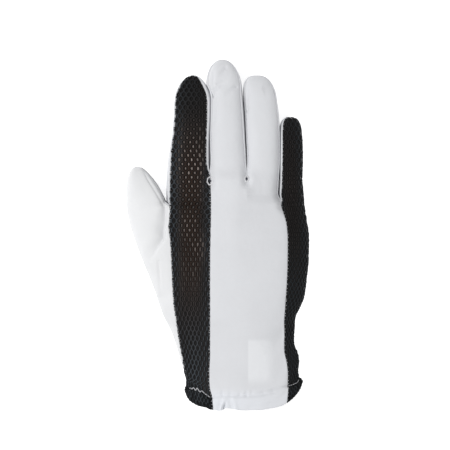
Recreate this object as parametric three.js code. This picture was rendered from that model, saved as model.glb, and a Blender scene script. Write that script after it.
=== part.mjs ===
// The light inner glove that a wicketkeeper wears under the padded gloves, for a right hand.
// It lies palm down: +Y towards the fingertips, +Z out of the back of the hand, thumb towards -X.
// Units are millimetres. It is sewn from ten panels, each a thin wall with the hand's hollow inside.
import * as THREE from "three";

// Driving dimensions
const WALL = 1.2; // cloth, mesh and leather alike
const HEM_WALL = 2.2; // the hem is turned in, so it is two layers
const SEAM_GAP = 0.3; // between the cut edges of two panels sewn together
const ROW_STEP = 5.4; // between two sections along the glove
const STRIP_COLUMNS = 4; // across one finger's back or front
const GUSSET_COLUMNS = 2; // across one finger's side
const CAP_ROWS = 4; // round one fingertip

const CUFF_Y = -106.5; // the hem's edge at the two sides
const HEM_HEIGHT = 8;
const CUFF_BOW = 13.2; // how much further the hem's edge reaches in the middle of the back
const PALM_BOW_SHARE = 0.4; // and in the middle of the palm, as a share of that
const CUFF_BOW_POWER = 3.2;
const CUFF_BOW_FADE = 46; // the bow is gone this far up the glove
const CUFF_TILT = 5; // how much higher the hem's edge sits at the little finger's side
const CUFF_TILT_FROM = 0.55; // where that rise starts, as a share of the way from middle to side

const MOST_MITER = 2.2; // at a sharp corner of a cut edge, in halves of the seam's gap

const ROUNDNESS = 2.5; // how evenly points are spread round a section
const BACK_POWER = 2.3; // roundness of the hand's section above its widest line
const PALM_POWER = 3.4; // and below it, where it is flatter
const PALM_PRESS = 0.9; // how much of the palm's curve is pressed flat by the floor

const FINGER_BACK_POWER = 2.2;
const FINGER_PALM_POWER = 2.7;
const SEAM_INSET = 1.2; // a finger's seams lie this far inside its outline, seen from above
const BLEND = 14; // length over which the hand parts into fingers
const TIP_NARROWING = 0.97; // below 1, so that a fingertip ends in a short edge and not in a point

const CENTRE_X = 0.35; // middle of the outline below, which becomes x = 0
const CENTRE_Y = 0;

// Sections of the closed hand from cuff to knuckles. left and right are its outline's x,
// top the height of its back and side the height of the outline above the floor.
const HAND = [
  { y: -106.5, left: -22.8, right: 57.0, top: 23.5, side: 10.0 },
  { y: -98.5, left: -22.0, right: 54.8, top: 23.0, side: 9.8 },
  { y: -91.0, left: -24.2, right: 54.8, top: 22.6, side: 9.6 },
  { y: -84.0, left: -26.6, right: 55.2, top: 22.4, side: 9.5 },
  { y: -74.0, left: -29.7, right: 52.0, top: 22.8, side: 9.5 },
  { y: -64.0, left: -33.4, right: 52.0, top: 23.8, side: 9.6 },
  { y: -57.0, left: -37.4, right: 53.2, top: 24.8, side: 9.8 },
  { y: -50.0, left: -40.0, right: 55.8, top: 25.6, side: 10.0 },
  { y: -43.0, left: -42.2, right: 58.4, top: 26.2, side: 10.2 },
  { y: -30.0, left: -46.8, right: 61.2, top: 26.8, side: 10.4 },
  { y: -16.0, left: -52.3, right: 62.7, top: 27.0, side: 10.4 },
  { y: -2.0, left: -57.1, right: 62.7, top: 26.6, side: 10.2 },
  { y: 11.0, left: -60.8, right: 60.7, top: 25.4, side: 9.8 },
  { y: 20.0, left: -61.8, right: 59.2, top: 24.2, side: 9.4 },
  { y: 37.0, left: -62.0, right: 58.0, top: 21.8, side: 8.9 },
  { y: 52.0, left: -62.0, right: 58.2, top: 19.4, side: 8.6 },
];

// Lines that part the hand into five strips, one for each finger: x of each line along the glove.
const LINES = [
  { y: -106.5, thumbIndex: -26.0, indexMiddle: -3.7, middleRing: 20.4, ringLittle: 47.3 },
  { y: -98.5, thumbIndex: -26.0, indexMiddle: -4.2, middleRing: 20.3, ringLittle: 47.3 },
  { y: -91.0, thumbIndex: -26.0, indexMiddle: -5.1, middleRing: 20.3, ringLittle: 47.0 },
  { y: -84.0, thumbIndex: -24.4, indexMiddle: -5.8, middleRing: 20.2, ringLittle: 46.2 },
  { y: -76.0, thumbIndex: -25.7, indexMiddle: -5.8, middleRing: 20.2, ringLittle: 44.9 },
  { y: -64.0, thumbIndex: -27.7, indexMiddle: -5.8, middleRing: 20.0, ringLittle: 44.8 },
  { y: -43.0, thumbIndex: -30.5, indexMiddle: -5.8, middleRing: 19.8, ringLittle: 46.3 },
  { y: -16.0, thumbIndex: -31.9, indexMiddle: -5.8, middleRing: 19.5, ringLittle: 47.4 },
  { y: -2.0, thumbIndex: -33.0, indexMiddle: -5.8, middleRing: 19.4, ringLittle: 47.5 },
  { y: 11.0, thumbIndex: -33.8, indexMiddle: -5.8, middleRing: 19.3, ringLittle: 46.2 },
  { y: 20.0, thumbIndex: -33.4, indexMiddle: -5.9, middleRing: 19.3, ringLittle: 43.6 },
  { y: 37.0, thumbIndex: -33.2, indexMiddle: -6.0, middleRing: 19.3, ringLittle: 42.2 },
  { y: 52.0, thumbIndex: -33.2, indexMiddle: -6.0, middleRing: 19.0, ringLittle: 42.4 },
];

// Where two fingers part. backZ and palmZ are the heights of the two ends of the gusset there,
// and a valley runs into the hand from each, drift being its sideways run for each mm of length.
const CROTCHES = [
  { line: "thumbIndex", y: 20, backZ: 14.5, palmZ: 4.6, valley: 36, width: 7.5, drift: -0.25 },
  { line: "indexMiddle", y: 37, backZ: 14.2, palmZ: 4.4, valley: 13, width: 4.6, drift: 0 },
  { line: "middleRing", y: 37, backZ: 14.2, palmZ: 4.4, valley: 13, width: 4.6, drift: 0 },
  { line: "ringLittle", y: 20, backZ: 13.2, palmZ: 4.2, valley: 15, width: 4.6, drift: 0 },
];

// The five fingers. Each row is a section: outline left and right, thickness, and lift of its
// underside above the floor. capY starts the fingertip, whose outline closes with that power.
const FINGERS = [
  {
    name: "thumb",
    capY: 30.5,
    tipX: -55.2,
    tipY: 45.8,
    power: 2.3,
    rows: [
      { y: 20.0, left: -61.8, right: -34.9, thick: 19.5, lift: 0.2 },
      { y: 25.0, left: -61.9, right: -37.0, thick: 19.2, lift: 0.6 },
      { y: 30.5, left: -62.1, right: -39.6, thick: 18.6, lift: 1.0 },
      { y: 46.0, left: -62.1, right: -47.5, thick: 17.4, lift: 1.6 },
    ],
  },
  {
    name: "index",
    capY: 91,
    tipX: -16.4,
    tipY: 108.9,
    power: 2.1,
    rows: [
      { y: 20, left: -35.8, right: -6.7, thick: 18.5, lift: 0.0 },
      { y: 37, left: -35.6, right: -6.6, thick: 18.2, lift: 0.4 },
      { y: 48, left: -35.0, right: -6.6, thick: 17.6, lift: 1.2 },
      { y: 59, left: -33.6, right: -6.6, thick: 17.2, lift: 1.8 },
      { y: 68, left: -32.1, right: -6.6, thick: 17.0, lift: 1.8 },
      { y: 80, left: -31.1, right: -6.6, thick: 16.6, lift: 1.2 },
      { y: 91, left: -30.5, right: -6.9, thick: 16.0, lift: 0.5 },
      { y: 109, left: -28.5, right: -8.5, thick: 14.6, lift: 0.0 },
    ],
  },
  {
    name: "middle",
    capY: 103,
    tipX: 2.9,
    tipY: 119.7,
    power: 2.1,
    rows: [
      { y: 37, left: -5.4, right: 18.9, thick: 18.6, lift: 0.3 },
      { y: 50, left: -5.5, right: 18.7, thick: 18.2, lift: 1.6 },
      { y: 65, left: -5.6, right: 17.9, thick: 17.8, lift: 2.6 },
      { y: 80, left: -5.7, right: 17.1, thick: 17.4, lift: 2.2 },
      { y: 92, left: -5.9, right: 16.5, thick: 17.0, lift: 1.2 },
      { y: 98, left: -6.2, right: 16.3, thick: 16.8, lift: 0.8 },
      { y: 103, left: -7.8, right: 16.2, thick: 16.4, lift: 0.4 },
      { y: 120, left: -8.0, right: 15.0, thick: 14.6, lift: 0.0 },
    ],
  },
  {
    name: "ring",
    capY: 94,
    tipX: 26.8,
    tipY: 108.7,
    power: 2.5,
    rows: [
      { y: 20, left: 19.8, right: 42.7, thick: 18.0, lift: 0.0 },
      { y: 28, left: 19.8, right: 40.9, thick: 17.8, lift: 0.2 },
      { y: 37, left: 19.8, right: 41.4, thick: 17.6, lift: 0.5 },
      { y: 50, left: 19.5, right: 42.1, thick: 17.2, lift: 1.5 },
      { y: 65, left: 18.8, right: 42.0, thick: 16.8, lift: 2.1 },
      { y: 80, left: 18.0, right: 41.4, thick: 16.4, lift: 1.4 },
      { y: 94, left: 17.1, right: 39.9, thick: 15.8, lift: 0.5 },
      { y: 109, left: 16.6, right: 37.5, thick: 14.4, lift: 0.0 },
    ],
  },
  {
    name: "little",
    capY: 69,
    tipX: 49.3,
    tipY: 80.6,
    power: 2.8,
    rows: [
      { y: 20, left: 43.8, right: 59.2, thick: 16.4, lift: 0.0 },
      { y: 28, left: 41.6, right: 58.7, thick: 16.2, lift: 0.2 },
      { y: 38, left: 42.2, right: 58.0, thick: 15.6, lift: 0.8 },
      { y: 50, left: 42.8, right: 58.4, thick: 15.0, lift: 1.4 },
      { y: 60, left: 42.8, right: 58.2, thick: 14.6, lift: 1.2 },
      { y: 69, left: 42.7, right: 57.4, thick: 14.2, lift: 0.6 },
      { y: 81, left: 42.7, right: 56.0, thick: 13.0, lift: 0.0 },
    ],
  },
];

// Creases pressed into the back of the hand: a soft groove between two points.
const CREASES = [
  { fromX: 54, fromY: -62, toX: 30, toY: -74, depth: 2.2, width: 5 },
  { fromX: 56, fromY: -88, toX: 38, toY: -96, depth: -1.4, width: 6 },
  { fromX: -38, fromY: -44, toX: -29, toY: -62, depth: 1.6, width: 5 },
];

// The side panel of white leather between thumb and cuff ends in a point where the mesh panel
// reaches the outline, and the thumb's front is set into the palm along one row.
const SIDE_PANEL_END_Y = -90;
const THUMB_SET_IN_Y = 4;

const COLOURS = { mesh: 0x2a2b2e, cloth: 0xdcdde2, leather: 0xe6e7e9 };

const smooth = (t) => {
  const s = Math.min(1, Math.max(0, t));
  return s * s * (3 - 2 * s);
};
const mix = (a, b, t) => a + (b - a) * t;
const signedPower = (v, p) => Math.sign(v) * Math.abs(v) ** p;

// The value of a table's column at y: a smooth curve through the rows that never overshoots.
function at(table, column, y) {
  const last = table.length - 1;
  if (y <= table[0].y) return table[0][column];
  if (y >= table[last].y) return table[last][column];
  let i = 0;
  while (y > table[i + 1].y) i += 1;
  const slope = (k) =>
    (table[k + 1][column] - table[k][column]) / (table[k + 1].y - table[k].y);
  const tangent = (k) => {
    if (k === 0 || k === last) return k === 0 ? slope(0) : slope(last - 1);
    const before = slope(k - 1);
    const after = slope(k);
    return before * after <= 0 ? 0 : (2 * before * after) / (before + after);
  };
  const step = table[i + 1].y - table[i].y;
  const t = (y - table[i].y) / step;
  const u = t - 1;
  return (
    (1 + 2 * t) * u * u * table[i][column] +
    t * u * u * step * tangent(i) +
    t * t * (3 - 2 * t) * table[i + 1][column] +
    t * t * u * step * tangent(i + 1)
  );
}

// Every section is measured by one turn for its back and its front: 0 at the right outline and
// pi at the left. acrossAt gives the place between the outlines, -1 to 1, turnAt the turn of a
// place, and riseAt how far the section stands up there, as a share of its full height.
const acrossAt = (turn) => signedPower(Math.cos(turn), 2 / ROUNDNESS);
const turnAt = (across) => Math.acos(signedPower(across, ROUNDNESS / 2));
const riseAt = (across, power) => (1 - Math.min(1, Math.abs(across)) ** power) ** (1 / power);

// The hand's section at y: middle and half width.
function handSection(y) {
  const left = at(HAND, "left", y);
  const right = at(HAND, "right", y);
  return { centre: (left + right) / 2, half: (right - left) / 2 };
}

// How far a valley has run in at a point: 1 at its crotch and beyond, 0 where it has faded.
function valleyShare(crotch, x, y) {
  const run = crotch.y - y;
  const along = run <= 0 ? 1 : 1 - smooth(run / crotch.valley);
  const middle = at(LINES, crotch.line, y) + crotch.drift * Math.max(0, run);
  return along * Math.exp(-(((x - middle) / crotch.width) ** 2));
}

function creaseDepth(x, y) {
  let depth = 0;
  for (const crease of CREASES) {
    const dx = crease.toX - crease.fromX;
    const dy = crease.toY - crease.fromY;
    const length2 = dx * dx + dy * dy;
    const t = ((x - crease.fromX) * dx + (y - crease.fromY) * dy) / length2;
    const held = Math.min(1, Math.max(0, t));
    const away = Math.hypot(x - crease.fromX - held * dx, y - crease.fromY - held * dy);
    depth += crease.depth * (1 - held ** 2) * Math.exp(-((away / crease.width) ** 2));
  }
  return depth;
}

// Height of the closed hand's back or palm above the floor, before the valleys and creases.
function plainHeight(y, across, under) {
  const side = at(HAND, "side", y);
  if (under) return side - (side + PALM_PRESS) * riseAt(across, PALM_POWER);
  return side + (at(HAND, "top", y) - side) * riseAt(across, BACK_POWER);
}

// The place across the hand's section, -1 to 1, of one of the lines that part it.
function lineAcross(line, y) {
  const { centre, half } = handSection(y);
  return Math.min(1, Math.max(-1, (at(LINES, line, y) - centre) / half));
}

// A point of the closed hand, the shape before it parts into fingers.
function handPoint(y, turn, under) {
  const { centre, half } = handSection(y);
  const across = acrossAt(turn);
  const x = centre + half * across;
  const inside = smooth(2 * Math.sin(turn));
  let z = plainHeight(y, across, under);
  for (const crotch of CROTCHES) {
    const start = plainHeight(crotch.y, lineAcross(crotch.line, crotch.y), under);
    const end = under ? crotch.palmZ : crotch.backZ;
    z += (end - Math.max(0, start)) * valleyShare(crotch, x, y) * inside;
  }
  if (!under) z -= creaseDepth(x, y) * inside;
  const mostBow = CUFF_BOW * (under ? PALM_BOW_SHARE : 1);
  const bow = mostBow * (1 - Math.abs(across) ** CUFF_BOW_POWER) ** 0.5;
  const tilt = CUFF_TILT * smooth((across - CUFF_TILT_FROM) / (1 - CUFF_TILT_FROM));
  const share = 1 - smooth((y - CUFF_Y - HEM_HEIGHT) / CUFF_BOW_FADE);
  return new THREE.Vector3(x, y + (tilt - bow) * share, Math.max(0, z));
}

// A finger's section at y, which shrinks over its fingertip.
function fingerSection(finger, y) {
  const left = at(finger.rows, "left", y);
  const right = at(finger.rows, "right", y);
  const thick = at(finger.rows, "thick", y);
  const share = Math.min(1, Math.max(0, (y - finger.capY) / (finger.tipY - finger.capY)));
  const close = (reach) => (1 - Math.min(1, reach) ** finger.power) ** (1 / finger.power);
  return {
    centre: mix((left + right) / 2, finger.tipX, share ** 2),
    half: ((right - left) / 2) * close(share * TIP_NARROWING),
    up: (thick / 2) * close(share),
    middle: at(finger.rows, "lift", y) + thick / 2,
    inset: SEAM_INSET * (1 - smooth(share / 0.75)),
  };
}

// The turn at which a finger's seams lie, above and below its widest line.
const seamTurn = (section) =>
  turnAt(1 - section.inset / Math.max(section.half, section.inset * 2));

// A point of a finger's back or front.
function fingerPoint(finger, y, turn, under) {
  const section = fingerSection(finger, y);
  const across = acrossAt(turn);
  const rise = section.up * riseAt(across, under ? FINGER_PALM_POWER : FINGER_BACK_POWER);
  return new THREE.Vector3(
    section.centre + section.half * across,
    y,
    Math.max(0, section.middle + (under ? -rise : rise)),
  );
}

// How far a finger has parted from the hand at y, beside the crotch on one of its sides.
const parted = (crotch, y) => smooth((y - crotch.y) / BLEND);

// A point of finger number n's strip. across runs from 0 at its left edge to 1 at its right.
function stripPoint(n, y, across, under) {
  const finger = FINGERS[n];
  const leftCrotch = CROTCHES[n - 1];
  const rightCrotch = CROTCHES[n];
  const handY = Math.min(y, HAND[HAND.length - 1].y);
  const leftTurn = leftCrotch ? turnAt(lineAcross(leftCrotch.line, handY)) : Math.PI;
  const rightTurn = rightCrotch ? turnAt(lineAcross(rightCrotch.line, handY)) : 0;
  const share = mix(
    parted(leftCrotch ?? rightCrotch, y),
    parted(rightCrotch ?? leftCrotch, y),
    across,
  );
  const closed = handPoint(handY, mix(leftTurn, rightTurn, across), under);
  if (share === 0) return closed;
  const seam = seamTurn(fingerSection(finger, y));
  const left = leftCrotch ? Math.PI - seam : Math.PI;
  const right = rightCrotch ? seam : 0;
  return closed.lerp(fingerPoint(finger, y, mix(left, right, across), under), share);
}

// A point of the gusset along one side of finger number n. up runs from 0 at its palm seam to 1
// at its back seam.
function gussetPoint(n, crotch, onRight, y, up) {
  const finger = FINGERS[n];
  const edge = onRight ? 1 : 0;
  const low = stripPoint(n, y, edge, true);
  const high = stripPoint(n, y, edge, false);
  const flat = low.clone().lerp(high, up);
  if (up === 0 || up === 1) return flat;
  const seam = seamTurn(fingerSection(finger, y));
  const roundAt = (turn) =>
    fingerPoint(finger, y, onRight ? Math.abs(turn) : Math.PI - Math.abs(turn), turn < 0);
  const chord = roundAt(-seam).lerp(roundAt(seam), up);
  const bulge = roundAt(mix(-seam, seam, up)).sub(chord);
  const point = flat.addScaledVector(bulge, parted(crotch, y));
  return point.setZ(Math.max(0, point.z));
}

// The rows of sections along the glove that all strips share, and those of one finger's strip.
function evenRows(from, to) {
  const count = Math.max(1, Math.round((to - from) / ROW_STEP));
  return Array.from({ length: count }, (_, i) => mix(from, to, i / count));
}

const HAND_ROWS = [
  CUFF_Y,
  ...evenRows(CUFF_Y + HEM_HEIGHT, SIDE_PANEL_END_Y),
  ...evenRows(SIDE_PANEL_END_Y, THUMB_SET_IN_Y),
  ...evenRows(THUMB_SET_IN_Y, CROTCHES[0].y),
  ...evenRows(CROTCHES[0].y, CROTCHES[1].y),
  CROTCHES[1].y,
];

function rowsOf(n) {
  const finger = FINGERS[n];
  const cap = Array.from({ length: CAP_ROWS }, (_, i) => {
    const turn = ((i + 1) / CAP_ROWS) * (Math.PI / 2);
    return mix(finger.capY, finger.tipY, Math.sin(turn));
  });
  const shared = HAND_ROWS.filter((y) => y < finger.capY - ROW_STEP / 2);
  const above = evenRows(shared[shared.length - 1], finger.capY).slice(1);
  return [...shared, ...above, finger.capY, ...cap];
}

const ROWS = FINGERS.map((_, n) => rowsOf(n));

// The glove's whole outer skin, as welded points and each panel's faces.
const skin = { points: [], walls: [], ids: new Map(), panels: new Map() };

function weld(point, y) {
  const key = point.toArray().map((v) => Math.round(v * 500)).join(" ");
  if (!skin.ids.has(key)) {
    skin.ids.set(key, skin.points.length);
    skin.points.push(point);
    const share = smooth((y - CUFF_Y - HEM_HEIGHT) / 3 + 0.5);
    skin.walls.push(mix(HEM_WALL, WALL, share));
  }
  return skin.ids.get(key);
}

// Adds a grid of points, row by row, to a panel. Its faces turn out where columns run to the
// right of rows, and reversed grids turn the other way.
function addGrid(panel, rows, columns, pointAt) {
  const ids = rows.map((row) => columns.map((column) => weld(pointAt(row, column), row.y ?? row)));
  const faces = skin.panels.get(panel) ?? [];
  for (let r = 0; r + 1 < rows.length; r += 1) {
    for (let c = 0; c + 1 < columns.length; c += 1) {
      const [a, b, d, e] = [ids[r][c], ids[r][c + 1], ids[r + 1][c + 1], ids[r + 1][c]];
      faces.push([a, b, d], [a, d, e]);
    }
  }
  skin.panels.set(
    panel,
    faces.filter(([a, b, c]) => a !== b && b !== c && c !== a),
  );
}

const fractions = (count) => Array.from({ length: count + 1 }, (_, i) => i / count);

// One finger's back or front. The fronts run on over the fingertip, to the last row of the backs.
function addStrip(panel, n, under, fromY, toY) {
  const rows = ROWS[n]
    .filter((y) => y >= fromY - 0.01 && y <= toY + 0.01)
    .map((y) => ({ y, under }));
  const seam = { y: ROWS[n][ROWS[n].length - 2], under: false };
  if (!under) rows.pop();
  else if (toY > seam.y) rows.push(seam);
  const columns = fractions(STRIP_COLUMNS + (n === 0 || n === FINGERS.length - 1 ? 1 : 0));
  addGrid(panel, rows, under ? columns.reverse() : columns, (row, across) =>
    stripPoint(n, row.y, across, row.under),
  );
}

// A gusset runs down the right side of one finger, round the crotch and up the left of the next.
function addGusset(panel, n) {
  const crotch = CROTCHES[n];
  const side = (finger, onRight) =>
    ROWS[finger]
      .filter((y) => y >= crotch.y - 0.01)
      .map((y) => ({ y, finger, onRight }));
  const down = side(n, true).reverse();
  const up = side(n + 1, false).slice(1);
  addGrid(panel, [...down, ...up], fractions(GUSSET_COLUMNS), (row, column) =>
    gussetPoint(row.finger, crotch, row.onRight, row.y, column),
  );
}

// Outward directions of the skin, shared by the panels on both sides of a seam.
function skinNormals() {
  const normals = skin.points.map(() => new THREE.Vector3());
  for (const faces of skin.panels.values()) {
    for (const [a, b, c] of faces) {
      const ab = skin.points[b].clone().sub(skin.points[a]);
      const ac = skin.points[c].clone().sub(skin.points[a]);
      const area = ab.cross(ac);
      for (const id of [a, b, c]) normals[id].add(area);
    }
  }
  return normals.map((normal) => normal.normalize());
}

// The edges of a panel that only one of its faces has, keyed by their first point.
function borderOf(faces) {
  const seen = new Set(faces.flatMap(([a, b, c]) => [`${a} ${b}`, `${b} ${c}`, `${c} ${a}`]));
  const border = [];
  for (const [a, b, c] of faces) {
    for (const [from, to] of [[a, b], [b, c], [c, a]]) {
      if (!seen.has(`${to} ${from}`)) border.push([from, to]);
    }
  }
  return border;
}

// How far each border point draws back into its panel, to leave half of the seam's gap.
function drawBack(border, normals) {
  const sums = new Map();
  for (const [from, to] of border) {
    const edge = skin.points[to].clone().sub(skin.points[from]).normalize();
    for (const id of [from, to]) {
      const inward = normals[id].clone().cross(edge).normalize();
      sums.set(id, (sums.get(id) ?? new THREE.Vector3()).add(inward));
    }
  }
  const moves = new Map();
  for (const [id, sum] of sums) {
    const size = sum.length();
    const miter = Math.min(MOST_MITER, 2 / Math.max(size, 0.01));
    moves.set(id, sum.normalize().multiplyScalar((SEAM_GAP / 2) * miter));
  }
  return moves;
}

// One panel as a closed solid: its outer skin, the same skin a wall's thickness inside, and the
// cut edges between them.
function panelGeometry(faces, normals) {
  const border = borderOf(faces);
  const moves = drawBack(border, normals);
  const still = new THREE.Vector3();
  const outer = (id) => skin.points[id].clone().add(moves.get(id) ?? still);
  const inner = (id) => outer(id).addScaledVector(normals[id], -skin.walls[id]);
  const corners = [];
  for (const [a, b, c] of faces) {
    corners.push(outer(a), outer(b), outer(c));
    corners.push(inner(a), inner(c), inner(b));
  }
  for (const [from, to] of border) {
    const cut = from < to ? [outer(from), inner(to)] : [inner(from), outer(to)];
    corners.push(outer(from), inner(from), cut[1]);
    corners.push(cut[0], inner(to), outer(to));
  }
  const geometry = new THREE.BufferGeometry().setFromPoints(corners);
  geometry.translate(-CENTRE_X, -CENTRE_Y, 0);
  geometry.computeVertexNormals();
  return geometry;
}

const [THUMB, INDEX, MIDDLE, RING, LITTLE] = FINGERS.map((_, n) => n);
const TIP_Y = FINGERS[MIDDLE].tipY;

addStrip("index_mesh_panel", INDEX, false, CUFF_Y, TIP_Y);
addStrip("back_panel", MIDDLE, false, CUFF_Y, TIP_Y);
addStrip("back_panel", RING, false, CUFF_Y, TIP_Y);
addStrip("little_mesh_panel", LITTLE, false, CUFF_Y, TIP_Y);
addStrip("thumb_back_panel", THUMB, false, SIDE_PANEL_END_Y, TIP_Y);
for (const n of [INDEX, MIDDLE, RING, LITTLE]) addStrip("palm_panel", n, true, CUFF_Y, TIP_Y);
addStrip("palm_panel", THUMB, true, CUFF_Y, THUMB_SET_IN_Y);
addStrip("thumb_front_panel", THUMB, true, THUMB_SET_IN_Y, TIP_Y);
addGusset("thumb_gusset", THUMB);
addGusset("index_middle_gusset", INDEX);
addGusset("middle_ring_gusset", MIDDLE);
addGusset("ring_little_gusset", RING);

const FINISHES = {
  index_mesh_panel: { color: COLOURS.mesh, roughness: 0.8 },
  little_mesh_panel: { color: COLOURS.mesh, roughness: 0.8 },
  back_panel: { color: COLOURS.cloth, roughness: 0.7 },
};
const LEATHER = { color: COLOURS.leather, roughness: 0.6 };

const glove = new THREE.Group();
const normals = skinNormals();
for (const [name, faces] of skin.panels) {
  const finish = FINISHES[name] ?? LEATHER;
  const mesh = new THREE.Mesh(
    panelGeometry(faces, normals),
    new THREE.MeshStandardMaterial({ ...finish, metalness: 0 }),
  );
  mesh.name = name;
  glove.add(mesh);
}

export default glove;
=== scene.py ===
"""The looks of a wicketkeeping inner glove, a right-hand one lying palm down.

The glove's shape is worked out from the same sections as its solids, relaxed as cloth so that
it puckers along its seams, and then built again panel by panel: cloth and leather as thin
shells whose edges turn in at the seams, the two black panels as a real net of open holes, and
the stitching as thread. Lengths are millimetres until a mesh is made.
"""

import bpy
import numpy as np
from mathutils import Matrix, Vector


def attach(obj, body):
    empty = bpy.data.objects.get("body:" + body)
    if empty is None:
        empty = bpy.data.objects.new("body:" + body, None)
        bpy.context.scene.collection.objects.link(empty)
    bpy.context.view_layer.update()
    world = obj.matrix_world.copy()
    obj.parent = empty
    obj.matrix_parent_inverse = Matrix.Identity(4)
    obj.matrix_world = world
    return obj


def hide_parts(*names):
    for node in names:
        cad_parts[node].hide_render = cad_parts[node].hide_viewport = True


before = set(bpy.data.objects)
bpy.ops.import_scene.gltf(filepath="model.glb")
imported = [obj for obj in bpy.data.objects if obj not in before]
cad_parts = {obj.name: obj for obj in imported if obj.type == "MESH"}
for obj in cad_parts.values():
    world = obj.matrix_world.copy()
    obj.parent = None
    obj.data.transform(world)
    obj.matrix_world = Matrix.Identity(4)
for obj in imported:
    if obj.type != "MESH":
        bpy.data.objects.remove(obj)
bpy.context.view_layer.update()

MM = 0.001
rng = np.random.default_rng(11)

# Tables


def table(text):
    """Rows of numbers under a row of column names, as {column name: array}."""
    names, *rows = (line.split() for line in text.strip().splitlines())
    return dict(zip(names, np.array(rows, float).T))


def where(rows, column, value):
    """The rows of a table that have a value in a column."""
    return {name: numbers[rows[column] == value] for name, numbers in rows.items()}


# The same driving sizes as the solids
CUFF_Y = -106.5
HEM_HEIGHT = 8.0
CUFF_BOW = 13.2
PALM_BOW_SHARE = 0.4
CUFF_BOW_POWER = 3.9
CUFF_BOW_FADE = 46.0
CUFF_TILT = 5.0
CUFF_TILT_FROM = 0.55
ROUNDNESS = 2.5
BACK_POWER = 2.3
PALM_POWER = 3.4
PALM_PRESS = 0.9
FINGER_PALM_POWER = 2.7
TIP_NARROWING = 0.993
TIP_RIM = 0.3
TIP_SEAM_INSET = 1.2
CENTRE = np.array([0.35, 0.0, 0.0])
SIDE_PANEL_END_Y = -90.0
THUMB_SET_IN_Y = 4.0

# Sections of the closed hand: its outline's left and right, the height of its back and of its side
HAND = table("""
y      left  right top  side
-106.5 -21.9 57.0  23.5 10.0
-98.5  -22.0 54.4  23.0 9.8
-91.0  -24.2 55.0  22.6 9.6
-84.0  -26.6 53.9  22.4 9.5
-79.0  -28.1 52.0  22.6 9.5
-74.0  -29.7 51.6  22.8 9.5
-64.0  -33.4 52.0  23.8 9.6
-57.0  -37.4 52.6  24.8 9.8
-50.0  -40.0 55.6  25.6 10.0
-43.0  -42.2 58.4  26.2 10.2
-30.0  -47.1 60.3  26.8 10.4
-16.0  -52.9 61.6  27.0 10.4
-2.0   -58.0 61.8  26.6 10.2
11.0   -61.8 60.1  25.4 9.8
20.0   -62.9 58.8  24.2 9.4
37.0   -63.0 57.6  21.8 8.9
52.0   -63.0 57.8  19.4 8.6
""")

# Lines that part the hand into five strips, one for each finger
LINES = table("""
y      thumb_index index_middle middle_ring ring_little
-106.5 -26.0       -3.7         20.4        47.0
-98.5  -26.0       -4.6         20.3        47.5
-91.0  -23.7       -6.3         20.3        47.8
-84.0  -24.4       -6.3         20.2        46.9
-76.0  -25.7       -5.8         20.2        45.0
-64.0  -28.0       -5.8         20.0        44.8
-43.0  -31.0       -5.8         19.8        46.3
-16.0  -32.2       -5.8         19.5        47.4
-2.0   -33.1       -5.5         19.4        47.5
4.0    -33.9       -5.4         19.4        47.1
11.0   -33.5       -5.2         19.3        45.9
20.0   -32.9       -5.2         19.3        43.0
37.0   -33.0       -5.7         19.3        42.2
52.0   -33.0       -6.0         19.0        42.4
""")

# Where two fingers part: the valley that runs into the hand from there, how far it lies beside
# the line, and how far above the crotch the fingers take to round off
CROTCHES = [
    dict(line="thumb_index", y=18, back_z=20.8, palm_z=4.6, valley=12, width=2.0, beside=-3.3, blend=5),
    dict(line="index_middle", y=37, back_z=17.4, palm_z=4.4, valley=9, width=3.2, beside=0, blend=14),
    dict(line="middle_ring", y=37, back_z=18.2, palm_z=4.4, valley=7, width=2.8, beside=0, blend=14),
    dict(line="ring_little", y=20, back_z=17.8, palm_z=4.2, valley=8, width=2.8, beside=0, blend=8),
]
# How far above the crotch the far side of an outermost finger takes to do so
OUTER_BLEND = 18.0

THUMB, INDEX, MIDDLE, RING, LITTLE = range(5)

# Where each finger's rounded tip starts and ends, and how square it and the back are
FINGERS = [
    dict(cap_y=30.5, tip_x=-55.7, tip_y=46.5, power=2.1, back_power=3.2),
    dict(cap_y=91, tip_x=-17.4, tip_y=109.2, power=2.0, back_power=2.5),
    dict(cap_y=103, tip_x=2.6, tip_y=120.0, power=1.95, back_power=2.5),
    dict(cap_y=94, tip_x=26.2, tip_y=109.1, power=2.65, back_power=2.5),
    dict(cap_y=69, tip_x=48.9, tip_y=80.6, power=2.8, back_power=2.5),
]

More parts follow.
